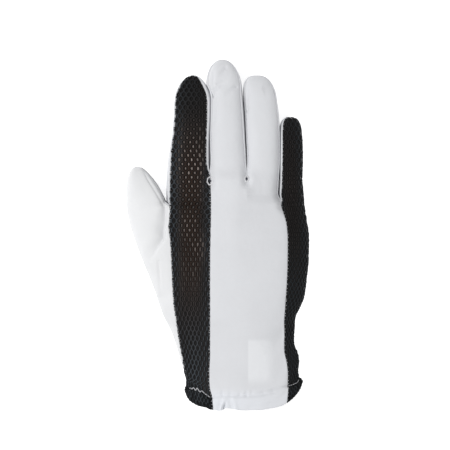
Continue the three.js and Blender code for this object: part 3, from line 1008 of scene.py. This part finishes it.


# Painted light on the suede inside: how pale it is left at each place
def painted_light_share(points):
    share = 0
    for x, y, wide, long, most in zip(*PAINTED_LIGHT_SPOTS.values()):
        reach = np.abs((points[:, 0] - x) / wide) ** 4 + ((points[:, 1] - y) / long) ** 2
        share = np.maximum(share, most * np.exp(-reach))
    uneven = np.sin(0.9 * points[:, 0] + 0.3 * points[:, 1]) * np.sin(0.35 * points[:, 1] - 1)
    return share * (0.85 + 0.3 * uneven)


def past(places, side, shift=0.5):
    start, fade = HIGHLIGHT_PATCH[side]
    return smooth((places - start) / fade + shift)


def highlight_patch_share(points):
    """A patch of painted highlight: lighter cloth with a sharp left edge."""
    x, y = points[:, 0], points[:, 1]
    across = past(x, "left", shift=0) * (1 - past(x, "right"))
    return across * (past(y, "bottom") * (1 - past(y, "top")))


def double_share(points):
    """Where the cloth lies double, in the hem, and looks whiter."""
    low = smooth((DOUBLE["top"] - points[:, 1]) / DOUBLE["fade"])
    across = smooth((points[:, 0] - DOUBLE["from_x"]) / DOUBLE["over"])
    return low * mix(DOUBLE["left"], DOUBLE["right"], across)


# Painted shade on the suede inside: dark wherever it is not left pale
def suede_shade_share(points):
    return 1 - painted_light_share(points)


def slit_shade_share(most, top, fade):
    """How much painted shade a place gets low in the slit between two fingers, where little light
    comes.
    """

    def share(points):
        depth = 1 - smooth((points[:, 2] - SLIT["low"]) / SLIT["fade"])
        return most * depth * (1 - smooth((points[:, 1] - top) / fade))

    return share


def hand_over(obj, node):
    """Says what body an object rides on and what solid it replaces."""
    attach(obj, "root")
    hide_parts(node)


def build_panel(name, skin, node, materials, marks=(), wall=0.9):
    """A panel's wall. marks lists (name, function of the points) for its materials."""
    points, normals, faces, _ = skin.weld()
    points = rolled(points, normals, faces)
    points, faces, slots = shell(points, normals, faces, wall)
    points[:, 2] = np.maximum(points[:, 2], 0.0)
    obj = mesh_object(name, points, faces)
    for look in materials:
        obj.data.materials.append(look)
    obj.data.polygons.foreach_set("material_index", slots)
    for mark, share in marks:
        carry(obj, mark, share(points))
    hand_over(obj, node)


# Nets

# A cell of the net in shares of the two pitches: its outline runs along the strands
CELL_OUTLINE = np.array(
    [
        (0.5, -0.12), (0.5, 0), (0.5, 0.12), (0.25, 0.25), (0, 0.38), (-0.25, 0.25),
        (-0.5, 0.12), (-0.5, 0), (-0.5, -0.12), (-0.25, -0.25), (0, -0.38), (0.25, -0.25),
    ]
)
CORNERS = len(CELL_OUTLINE)
# A cell's points: its outline, a ring between, the hole's rim, and the hole's middle
CELL_POINTS = 3 * CORNERS + 1
# Height of a strand, height of its underside and how much light reaches it, painted in as light on
# its crest and shade on its sides, from the outline to the rim, and the same for the floor of a hole in
# the hem
CORD = table("""
height under crown
0.28   -0.3  1
0.08   -0.28 0.2
-0.16  -0.24 0
""")
HEM_FLOOR = dict(height=-0.06, under=-0.2, crown=0.25)
HOLE_SQUARENESS = 0.85
# Where a net is painted brown, as painted light from the lit lining showing through its strands: the
# middle of each patch leans from a height on
THROUGH_LIGHT = table("""
x     lean  lean_from y    wide long most
-18.6 0.075 40.0      16.0 9.6  84.0 1.0
51.0  -0.05 0.0       28.0 5.5  52.0 0.75
""")
# How far from its borders a net is tucked down, how deep, and how far from them it laps over
NET_TUCK = 0.7
TUCK_DEPTH = 0.2
NET_LAP = 0.9
# Where a net's points become one, and the smallest area of a face
NET_WELD_STEPS = 500
LEAST_FACE = 0.002
# At how many places a sheet is measured along and across
SHEET_ROWS = 600
SHEET_COLUMNS = 121
# How uneven the holes are. They grow towards a border, fully at GROWN_AT from it
HOLE_SPREAD = 0.1
GROWN_AT = 4
GROWTH_FADE = 5
# How much painted light the strands in the hem get, from cell to cell, and how much any strand gets at
# most
HEM_TONES = (0.2, 1.6)
MOST_TONE = 1.4
# How far below a fingertip a net's laps and stitches end
TIP_FREE = 16
# The hem's floor goes on to a little above its stitches
FLOOR_END = 1.12


class Sheet:
    """A finger's back laid out flat: along its middle line, and across from it."""

    def __init__(self, n, step=1.2, count=49):
        patch = ("strip", n, False)
        rows = np.linspace(CUFF_Y, FINGERS[n]["tip_y"], SHEET_ROWS)
        half = np.full_like(rows, 0.5)
        middle = shaped(patch, back_y(n, rows, half), half)
        run = np.linalg.norm(np.diff(middle, axis=0), axis=1)
        arc = np.concatenate([[0], np.cumsum(run)])
        self.length = arc[-1]
        self.step = self.length / round(self.length / step)
        even = np.arange(round(self.length / self.step) + 1) * self.step
        self.rows = np.interp(even, arc, rows)
        c = np.linspace(0, 1, SHEET_COLUMNS)
        row, across = np.meshgrid(self.rows, c, indexing="ij")
        points = shaped(patch, back_y(n, row, across), across)
        side = np.linalg.norm(np.diff(points, axis=1), axis=2)
        side = np.concatenate([np.zeros((len(row), 1)), np.cumsum(side, axis=1)], 1)
        share = np.linspace(0, 1, count)
        own = np.stack([np.interp(share * a[-1], a, c) for a in side])
        y = back_y(n, np.repeat(self.rows[:, None], count, 1), own)
        self.grid, self.normal = finished(patch, y, own)
        self.hem = hem_share(patch, y, own)[..., None]
        self.left = -side[:, len(c) // 2]
        self.right = side[:, -1] + self.left
        self.v_rows = np.arange(len(self.rows)) * self.step

    def borders(self, v):
        return np.interp(v, self.v_rows, self.left), np.interp(v, self.v_rows, self.right)

    def place(self, s, v):
        """Points, normals and share of the hem at s across and v along."""
        left, right = self.borders(v)
        r = np.clip(v, 0, self.length) / self.step
        t = np.clip((s - left) / (right - left), 0, 1) * (self.grid.shape[1] - 1)
        return [grid_at(grid, r, t) for grid in (self.grid, self.normal, self.hem)]


def through_light_share(points):
    """Where a net is painted brown: painted light from the lit lining behind it showing through the
    strands.
    """
    x, y = points[:, 0], points[:, 1]
    share = 0
    for start, lean, lean_from, middle_y, wide, long, most in zip(*THROUGH_LIGHT.values()):
        middle = start + lean * np.maximum(0, y - lean_from)
        across = np.exp(-(np.abs((x - middle) / wide) ** 5))
        share = share + most * across * np.exp(-(((y - middle_y) / long) ** 4))
    return share


def lattice(sheet, pitch):
    """Middles of the cells that cover a sheet, and the way from the lattice to the sheet."""
    along = at(pitch, "along", sheet.rows)
    index = np.concatenate([[0], np.cumsum(sheet.step / ((along[1:] + along[:-1]) / 2))])

    def flat(i, j):
        v = np.interp(j, index, sheet.v_rows)
        past_end = np.where(j > index[-1], (j - index[-1]) * along[-1], 0)
        beyond = np.where(j < 0, j * along[0], past_end)
        row = np.interp(v, sheet.v_rows, sheet.rows)
        # A little crooked, as a knit is
        wave = 0.05 * np.sin(1.7 * j + 0.9 * i) + 0.04 * np.sin(0.8 * i - 0.5 * j + 1)
        return (i + wave) * at(pitch, "across", row), v + beyond

    widest = max(-sheet.left.min(), sheet.right.max())
    most = int(widest / pitch["across"].min()) + 2
    whole = np.arange(-most, most + 1)
    lines = np.arange(-1, int(index[-1]) + 3)
    first = np.stack(np.meshgrid(whole, lines, indexing="ij"), -1).reshape(-1, 2)
    return np.concatenate([first, first + 0.5]), flat


def net_cells(sheet, pitch, grow):
    """Flat places of the cells' points, their heights and painted light, and which cells are in the
    hem.
    """
    centres, flat = lattice(sheet, pitch)
    outline = centres[:, None] + CELL_OUTLINE[None]
    s, v = flat(outline[..., 0], outline[..., 1])
    left, right = sheet.borders(v)
    inside = ((s > left) & (s < right) & (v > 0) & (v < sheet.length)).any(1)
    centres, outline = centres[inside], outline[inside]
    count = len(centres)

    s, v = flat(centres[:, 0], centres[:, 1])
    row = np.interp(np.clip(v, 0, sheet.length), sheet.v_rows, sheet.rows)
    size = 1 + HOLE_SPREAD * rng.standard_normal((count, 2)).clip(-2, 2)
    left, right = sheet.borders(v)
    to_border = np.minimum(s - left, right - s)
    size *= 1 + (grow * (1 - smooth((to_border - GROWN_AT) / GROWTH_FADE)))[:, None]
    half = np.stack([at(pitch, "wide", row), at(pitch, "long", row)], -1) * size
    x, y = (CELL_OUTLINE / CELL_OUTLINE.max(0)).T
    turn = np.arctan2(y, x)
    rim = [signed_power(part, HOLE_SQUARENESS) for part in (np.cos(turn), np.sin(turn))]
    hole = centres[:, None] + np.stack(rim, -1)[None] * half[:, None]
    in_hem = sheet.place(s, v)[2][:, 0] < FLOOR_END
    places = np.concatenate([outline, mix(outline, hole, 0.5), hole, centres[:, None]], 1)

    height, under, crown = (
        np.tile(np.append(np.repeat(CORD[k], CORNERS), HEM_FLOOR[k]), count)
        for k in ("height", "under", "crown")
    )
    tone = at(pitch, "tone", row) * np.where(in_hem, rng.uniform(*HEM_TONES, count), 1)
    crown = crown * np.repeat(tone, CELL_POINTS).clip(0, MOST_TONE)
    s, v = flat(places[..., 0].ravel(), places[..., 1].ravel())
    v = np.clip(v, 0, sheet.length)
    left, right = sheet.borders(v)
    return (np.clip(s, left, right), v, height, under, crown), in_hem


def cell_faces(in_hem):
    """Triangles: two rings round every cell's hole, and a floor in each hole of the hem."""
    around = np.arange(CORNERS)
    after = (around + 1) % CORNERS
    rings = []
    for a, b in ((0, CORNERS), (CORNERS, 2 * CORNERS)):
        rings.append(np.stack([a + around, a + after, b + after], -1))
        rings.append(np.stack([a + around, b + after, b + around], -1))
    rim = 2 * CORNERS
    floor = np.stack([rim + around, rim + after, np.full(CORNERS, 3 * CORNERS)], -1)

    def repeated(faces, cells):
        return (faces[None] + (cells * CELL_POINTS)[:, None, None]).reshape(-1, 3)

    every = repeated(np.concatenate(rings), np.arange(len(in_hem)))
    return np.concatenate([every, repeated(floor, np.flatnonzero(in_hem))])


def build_net(name, sheet, pitch, node, grow, laps):
    """A net: two rings of faces round every hole, ridged along the strands between holes.

    grow is how much larger its holes are at the borders. It laps unevenly over both borders,
    by up to laps."""
    columns, in_hem = net_cells(sheet, pitch, grow)
    keys = np.round(np.stack(columns[:2], -1) * NET_WELD_STEPS).astype(int)
    _, first, ids = np.unique(keys, axis=0, return_index=True, return_inverse=True)
    s, v, height, under, crown = (column[first] for column in columns)
    faces = ids.reshape(-1)[cell_faces(in_hem)]
    a, b, c = (np.stack([s, v], -1)[faces[:, k]] for k in range(3))
    area = (b[:, 0] - a[:, 0]) * (c[:, 1] - a[:, 1]) - (b[:, 1] - a[:, 1]) * (c[:, 0] - a[:, 0])
    faces = faces[area > LEAST_FACE].tolist()

    base, normal, _ = sheet.place(s, v)
    left, right = sheet.borders(v)
    edge = np.minimum.reduce([s - left, right - s, v, sheet.length - v])
    tuck = 1 - np.clip(edge / NET_TUCK, 0, 1)
    sink = TUCK_DEPTH * tuck**2
    lap = 0.5 + 0.3 * np.sin(1.55 * v) + 0.2 * np.sin(0.83 * v + 1)
    lap = lap * (1 - smooth((v - sheet.length + TIP_FREE) / 8))
    at_left, at_right = (np.clip(1 - away / NET_LAP, 0, 1) for away in (s - left, right - s))
    base[:, 0] += lap * (laps[1] * at_right - laps[0] * at_left)
    top = base + normal * (height - sink)[:, None]
    bottom = base + normal * (under - sink)[:, None]
    underside, walls = closing_faces(faces, len(s))
    obj = mesh_object(name, np.concatenate([top, bottom]), faces + underside + walls)
    # painted shade on the strands' sides, less where their crests get painted light
    carry(obj, "painted_shade", 1 - np.tile(crown, 2))
    # painted light: brown where the lit lining shows through the strands
    carry(obj, "painted_through_light", np.tile(through_light_share(base), 2))
    obj.data.materials.append(black_mesh)
    hand_over(obj, node)


# Threads

THREAD_SIDES = 6
# How thin a thread is at its ends
THREAD_END = 0.4
KNOT_RADIUS = 0.6
LOOP_RADIUS = 0.22
# About how far up a sheet the hem's stitches lie, and how far at most
HEM_STITCH_V = 10.0
HEM_MOST_V = 16


def tube(points, normals, radius):
    """Points and faces of a thread along a line of points."""
    along = unit(np.gradient(points, axis=0))
    across = unit(np.cross(along, normals))
    up = np.cross(across, along)
    turn = np.arange(THREAD_SIDES) * 2 * np.pi / THREAD_SIDES
    ring = across[:, None] * np.cos(turn)[None, :, None] + up[:, None] * np.sin(turn)[None, :, None]
    size = np.full(len(points), radius)
    size[[0, -1]] *= THREAD_END
    shell_points = (points[:, None] + ring * size[:, None, None]).reshape(-1, 3)
    faces = []
    for i in range(len(points) - 1):
        for k in range(THREAD_SIDES):
            a, b = i * THREAD_SIDES + k, i * THREAD_SIDES + (k + 1) % THREAD_SIDES
            faces.append([a, a + THREAD_SIDES, b + THREAD_SIDES, b])
    last = (len(points) - 1) * THREAD_SIDES
    faces.append(list(range(THREAD_SIDES)))
    faces.append([last + k for k in range(THREAD_SIDES)][::-1])
    return shell_points, faces


class Threads:
    def __init__(self):
        self.points, self.faces, self.count = [], [], 0

    def add(self, points, normals, radius):
        points, faces = tube(points, normals, radius)
        self.faces += [[i + self.count for i in face] for face in faces]
        self.points.append(points)
        self.count += len(points)

    def build(self, name, node, slot, look):
        """One object from all the threads so far."""
        obj = mesh_object(name, np.concatenate(self.points), self.faces)
        obj.data.materials.append(look)
        hand_over(obj, node)


def hem_stitches(threads, sheet, start, stitch, swing, radius):
    """Single stitches along the hem's groove across a net, most zigzag in its middle."""
    left, right = sheet.borders(HEM_STITCH_V)
    ends = np.arange(left + start, right, stitch)
    side = np.where(np.arange(len(ends)) % 2, 1, -1)
    middle = np.sin(np.pi * np.linspace(0.05, 0.95, len(ends))) ** 2
    reach = swing * side * middle * rng.uniform(0.75, 1.15, len(ends))
    v = np.linspace(0, HEM_MOST_V, 161)
    for i in range(len(ends) - 1):
        t = np.linspace(0, 1, 7)
        s = mix(ends[i], ends[i + 1], t)
        share = sheet.place(*np.meshgrid(s, v, indexing="ij"))[2][..., 0]
        line = np.array([np.interp(1.0, row, v) for row in share])
        points, normals, _ = sheet.place(s, line + mix(reach[i], reach[i + 1], t))
        lift = 0.5 * np.sin(np.pi * t) * rng.uniform(0.6, 1.2)
        threads.add(points + normals * lift[:, None], normals, radius)


def border_stitches(threads, sheet, period, reach, radius):
    """Short stitches over both borders of a net."""
    for v in np.arange(1.5, sheet.length - TIP_FREE, period):
        for side in (0, 1):
            inward = np.linspace(0, reach * rng.uniform(0.5, 1.3), 4)
            own_v = v + rng.uniform(-0.5, 0.5) + np.linspace(0, rng.uniform(-0.7, 0.7), 4)
            border = sheet.borders(own_v)[side]
            points, normals, _ = sheet.place(border + inward * (1 - 2 * side), own_v)
            lift = np.array([-0.1, 0.3, 0.34, 0.1])
            threads.add(points + normals * lift[:, None], normals, radius)


def edge_shadow_line(threads, n, radius):
    """A grey thread down the outermost side of finger n, from its tip to its crotch: painted shadow
    along that edge.
    """
    patch = ("gusset", n, True)
    y = np.linspace(CROTCHES[n]["y"] + 1, FINGERS[n]["tip_y"] - 0.6, 60)
    c = np.full_like(y, 0.5)
    normals = facing(patch, y, c)
    threads.add(finished(patch, y, c)[0] + normals * radius * 0.5, normals, radius)


def on_hand(x, y):
    """Points of the hand's back at x and y."""
    centre, half = hand_section(y)
    return hand_points(y, turn_at((x - centre) / half), False)


def bartack(white, dark, x, y, wide, long):
    """The bartack at the foot of a slit: loops of white thread round a dark knot, painted shade where
    the slit ends.
    """
    up = np.array([0.0, 0.0, 1.0])
    along = np.linspace(-0.7, 0.7, 5)
    points = on_hand(x + 0.2 * along, y + along) + 0.35 * up
    # painted shade: a dark knot where the slit ends
    dark.add(points, np.tile(up, (5, 1)), KNOT_RADIUS)
    for loop in range(2):
        turn = np.linspace(0, 2 * np.pi, 41)
        size = 1 + 0.16 * loop + 0.06 * np.sin(7 * turn + 2 * loop)
        points = on_hand(x + wide * size * np.sin(turn), y + long * size * np.cos(turn))
        white.add(points + (0.3 - 0.12 * loop) * up, np.tile(up, (41, 1)), LOOP_RADIUS)


# Materials

# Each texture's node, its output that gives height, its scale for a size of 1, and its inputs
TEXTURES = dict(
    knit=("ShaderNodeTexWave", "Fac", 0.314, dict(Distortion=2.0, Detail=1)),
    grain=("ShaderNodeTexVoronoi", "Distance", 1, {}),
    noise=("ShaderNodeTexNoise", "Fac", 1, dict(Detail=3)),
)


def set_inputs(node, values):
    for name, value in values.items():
        node.inputs[name].default_value = value


def colour_mix(tree, share, a, b):
    """A node's mix of colours a and b by another node's output. a may be an output too."""
    node = tree.nodes.new("ShaderNodeMix")
    node.data_type = "RGBA"
    node.inputs["B"].default_value = (*b, 1)
    tree.links.new(share, node.inputs["Factor"])
    if isinstance(a, bpy.types.NodeSocket):
        tree.links.new(a, node.inputs["A"])
    else:
        node.inputs["A"].default_value = (*a, 1)
    return node.outputs["Result"]


def material(name, colour, roughness, sheen=0.0, bump=(), marks=(), glow=0.0, shine=0.3):
    """A Principled material. bump is a list of (texture kind, size in mm, strength).

    marks is a list of (number carried by the mesh, colour where it is 1)."""
    made = bpy.data.materials.new(name)
    made.use_nodes = True
    tree = made.node_tree
    shader = tree.nodes["Principled BSDF"]
    set_inputs(shader, {"Roughness": roughness, "Specular IOR Level": shine})
    set_inputs(shader, {"Sheen Weight": sheen, "Sheen Roughness": 0.5})
    place = tree.nodes.new("ShaderNodeTexCoord").outputs["Object"]
    tint = tree.nodes.new("ShaderNodeTexNoise")
    set_inputs(tint, dict(Scale=45, Detail=4))
    tree.links.new(place, tint.inputs["Vector"])
    darker = [v * 0.95 for v in colour]
    lighter = [min(1, v * 1.04) for v in colour]
    tinted = colour_mix(tree, tint.outputs["Fac"], darker, lighter)
    for mark, mark_colour in marks:
        share = tree.nodes.new("ShaderNodeAttribute")
        share.attribute_name = mark
        tinted = colour_mix(tree, share.outputs["Fac"], tinted, mark_colour)
    tree.links.new(tinted, shader.inputs["Base Color"])
    if glow:
        tree.links.new(tinted, shader.inputs["Emission Color"])
        set_inputs(shader, {"Emission Strength": glow})
    normal = None
    for kind, size, strength in bump:
        node_kind, output, scale, values = TEXTURES[kind]
        texture = tree.nodes.new(node_kind)
        set_inputs(texture, dict(Scale=scale / (size * MM), **values))
        tree.links.new(place, texture.inputs["Vector"])
        step = tree.nodes.new("ShaderNodeBump")
        set_inputs(step, dict(Strength=strength, Distance=size * MM * 0.3))
        tree.links.new(texture.outputs[output], step.inputs["Height"])
        if normal:
            tree.links.new(normal, step.inputs["Normal"])
        normal = step.outputs["Normal"]
    if normal:
        tree.links.new(normal, shader.inputs["Normal"])
    return made


white_cloth = material(
    "white_cloth",
    (0.63, 0.638, 0.66),
    roughness=0.85,
    sheen=0.1,
    bump=[("noise", 3.0, 0.25), ("knit", 0.5, 0.2)],
    marks=[
        # painted highlight: a lighter patch on the back of the hand
        ("painted_highlight", (0.69, 0.70, 0.72)),
        ("double", (0.69, 0.71, 0.75)),
        # painted shade: the gussets darken low in the slits between the fingers
        ("painted_shade", (0.09, 0.095, 0.13)),
    ],
)
white_leather = material(
    "white_leather",
    (0.65, 0.655, 0.665),
    roughness=0.7,
    sheen=0.05,
    bump=[("noise", 4.0, 0.25), ("grain", 0.9, 0.15)],
)
# The suede inside glows a little: painted light standing in for the light that comes in through the
# net's holes. Away from its pale spots it is painted dark, as shade
suede_painted_glow = material(
    "suede_painted_glow",
    (0.80, 0.67, 0.60),
    roughness=0.95,
    sheen=0.2,
    bump=[("noise", 1.0, 0.4)],
    marks=[("painted_shade", (0.05, 0.046, 0.046))],
    glow=0.22,
)
inside_knit = dict(roughness=0.95, sheen=0.1, bump=[("knit", 0.7, 0.3)])
# The panels' insides are painted grey and the gussets' insides near black: painted shade inside the
# glove
cloth_inside_shade = material("cloth_inside_shade", (0.3, 0.3, 0.32), **inside_knit)
gusset_inside_shade = material("gusset_inside_shade", (0.03, 0.03, 0.035), **inside_knit)
# The net's strand sides are painted near black as shade, and brown where the lit lining shows through,
# as painted light
black_mesh = material(
    "black_mesh",
    (0.048, 0.056, 0.065),
    roughness=0.7,
    bump=[("knit", 0.6, 0.5)],
    marks=[("painted_through_light", (0.026, 0.0145, 0.010)), ("painted_shade", (0.001, 0.001, 0.001))],
    shine=0.12,
)


def thread(name, colour, roughness=0.7, sheen=0.1):
    return material(name, colour, roughness, sheen, bump=[("knit", 0.25, 0.4)])


white_thread = thread("white_thread", (0.72, 0.72, 0.74), roughness=0.6, sheen=0.2)
pale_thread = thread("pale_thread", (0.42, 0.42, 0.44))
# a grey thread laid along the thumb's outer edge as painted shadow
edge_shadow_thread = thread("edge_shadow_thread", (0.22, 0.21, 0.2), roughness=0.8)
# a dark thread for painted shade at the slits' ends
slit_end_shade_thread = thread("slit_end_shade_thread", (0.03, 0.032, 0.05))

# Building

relax_cloth()

skin = Skin()
for n in (MIDDLE, RING):
    add_back(skin, n, columns=42)
whiter = [("painted_highlight", highlight_patch_share), ("double", double_share)]
build_panel("back_cloth", skin, "back_panel", [white_cloth, cloth_inside_shade], whiter)

skin = Skin()
add_back(skin, THUMB, start=SIDE_PANEL_END_Y, columns=48)
build_panel("thumb_back_leather", skin, "thumb_back_panel", [white_leather, cloth_inside_shade])

skin = Skin()
for n in (INDEX, MIDDLE, RING, LITTLE):
    add_front(skin, n)
add_front(skin, THUMB, end=THUMB_SET_IN_Y)
leather = [white_leather, suede_painted_glow]
# painted shade on the suede inside, away from its pale spots
suede = [("painted_shade", suede_shade_share)]
build_panel("palm_leather", skin, "palm_panel", leather, suede)

skin = Skin()
add_front(skin, THUMB, start=THUMB_SET_IN_Y)
build_panel("thumb_front_leather", skin, "thumb_front_panel", leather, suede)

# Each gusset with how dark its slit is painted, as shade, up to what y, and over what length that fades
GUSSETS = [
    ("thumb_gusset", THUMB, dict(most=0.0, top=0, fade=1)),
    ("index_middle_gusset", INDEX, dict(most=0.85, top=52, fade=20)),
    ("middle_ring_gusset", MIDDLE, dict(most=0.8, top=88, fade=10)),
    ("ring_little_gusset", RING, dict(most=0.3, top=34, fade=16)),
]
for node, n, slit in GUSSETS:
    skin = Skin()
    add_gusset(skin, n)
    marks = [("painted_shade", slit_shade_share(**slit))]
    looks = [white_cloth, gusset_inside_shade]
    build_panel(node + "_cloth", skin, node, looks, marks, wall=0.8)

# Across and along pitch of the net's holes in mm, half a hole's width and length as shares of
# them, and how much painted light the strands get, the rest being painted shade
INDEX_NET = table("""
y      across along wide long tone
-106.5 2.6    4.6   0.12 0.18 0.5
-96.0  2.7    5.8   0.13 0.22 0.8
-85.0  2.8    6.6   0.13 0.23 1.15
-30.0  3.0    6.8   0.14 0.23 1.15
0.0    3.5    6.5   0.14 0.18 1.0
30.0   4.1    6.1   0.13 0.15 1.0
70.0   4.1    6.0   0.12 0.16 0.75
90.0   3.8    6.0   0.09 0.15 0.45
110.0  3.6    5.8   0.08 0.13 0.35
""")
LITTLE_NET = table("""
y      across along wide  long tone
-106.5 2.4    4.4   0.12  0.20 0.35
-80.0  2.5    5.1   0.12  0.22 0.4
-40.0  2.7    5.4   0.13  0.22 0.42
10.0   3.0    6.0   0.135 0.21 0.38
82.0   3.1    6.2   0.13  0.19 0.4
""")
index_sheet = Sheet(INDEX)
little_sheet = Sheet(LITTLE)
build_net("index_net", index_sheet, INDEX_NET, "index_mesh_panel", grow=0.5, laps=(0.5, 0.15))
build_net("little_net", little_sheet, LITTLE_NET, "little_mesh_panel", grow=0.0, laps=(0.1, 0.4))

white_threads, edge_shadow_threads, hem_threads, slit_end_shade_threads = (Threads() for _ in range(4))
edge_shadow_line(edge_shadow_threads, THUMB, 0.3)
hem_stitches(hem_threads, index_sheet, start=7.6, stitch=1.75, swing=1.2, radius=0.33)
hem_stitches(hem_threads, little_sheet, start=0.3, stitch=2.4, swing=0.1, radius=0.22)
border_stitches(white_threads, index_sheet, period=2.1, reach=0.7, radius=0.13)
border_stitches(white_threads, little_sheet, period=2.6, reach=0.5, radius=0.13)
bartack(white_threads, slit_end_shade_threads, -5.6, 36.6, wide=1.9, long=2.5)
bartack(white_threads, slit_end_shade_threads, 19.2, 38.0, wide=1.1, long=1.9)
edge_shadow_threads.build("thumb_edge_shadow_line", "thumb_gusset", "white_cloth", edge_shadow_thread)
white_threads.build("white_stitches", "back_panel", "white_cloth", white_thread)
hem_threads.build("hem_stitches", "index_mesh_panel", "black_mesh", pale_thread)
slit_end_shade_threads.build("slit_end_shades", "back_panel", "white_cloth", slit_end_shade_thread)

# Stage

FLOOR_REACH = 4.0
FLOOR_DROP = 0.0003
corners = [(x * FLOOR_REACH, y * FLOOR_REACH, 0) for x, y in ((-1, -1), (1, -1), (1, 1), (-1, 1))]
floor_mesh = bpy.data.meshes.new("floor")
floor_mesh.from_pydata(corners, [], [(0, 1, 2, 3)])
floor = bpy.data.objects.new("floor", floor_mesh)
bpy.context.scene.collection.objects.link(floor)
floor_white = material("floor", (0.93, 0.93, 0.93), roughness=1.0)
lit = {"Emission Color": (1, 1, 1, 1), "Emission Strength": 0.5}
set_inputs(floor_white.node_tree.nodes["Principled BSDF"], lit)
floor.data.materials.append(floor_white)
floor.location.z = -FLOOR_DROP

world = bpy.context.scene.world or bpy.data.worlds.new("world")
bpy.context.scene.world = world
world.use_nodes = True
set_inputs(world.node_tree.nodes["Background"], dict(Color=(1, 1, 1, 1), Strength=0.5))


def area_light(name, place, width, power):
    light = bpy.data.lights.new(name, "AREA")
    light.shape = "DISK"
    light.size = width
    light.energy = power
    obj = bpy.data.objects.new(name, light)
    obj.location = place
    obj.rotation_euler = (-Vector(place)).to_track_quat("-Z", "Y").to_euler()
    bpy.context.scene.collection.objects.link(obj)


area_light("left", (-0.6, 0.12, 0.66), width=0.6, power=5.8)
area_light("right", (0.9, -0.6, 0.9), width=0.9, power=5.6)

# Camera: the photograph looks straight at the back of the glove. The middle of the glove's
# outline lies at this pixel of it
PHOTO_PIXELS = 450
MIDDLE_PIXEL = (218.5, 234.5)
PIXEL = 0.6838
VIEW_X = (PHOTO_PIXELS / 2 - MIDDLE_PIXEL[0]) * PIXEL
VIEW_Y = (MIDDLE_PIXEL[1] - PHOTO_PIXELS / 2) * PIXEL
CAMERA_HEIGHT = 2500.0
GLOVE_MIDDLE_Z = 13.0
SENSOR = 36
camera = bpy.data.cameras.new("camera")
camera.sensor_width = SENSOR
camera.lens = SENSOR * (CAMERA_HEIGHT - GLOVE_MIDDLE_Z) / (PHOTO_PIXELS * PIXEL)
camera.clip_start = 0.05
camera_object = bpy.data.objects.new("camera", camera)
camera_object.location = (np.array([VIEW_X, VIEW_Y, CAMERA_HEIGHT]) - CENTRE) * MM
bpy.context.scene.collection.objects.link(camera_object)
bpy.context.scene.camera = camera_object
bpy.context.scene.view_settings.view_transform = "Standard"
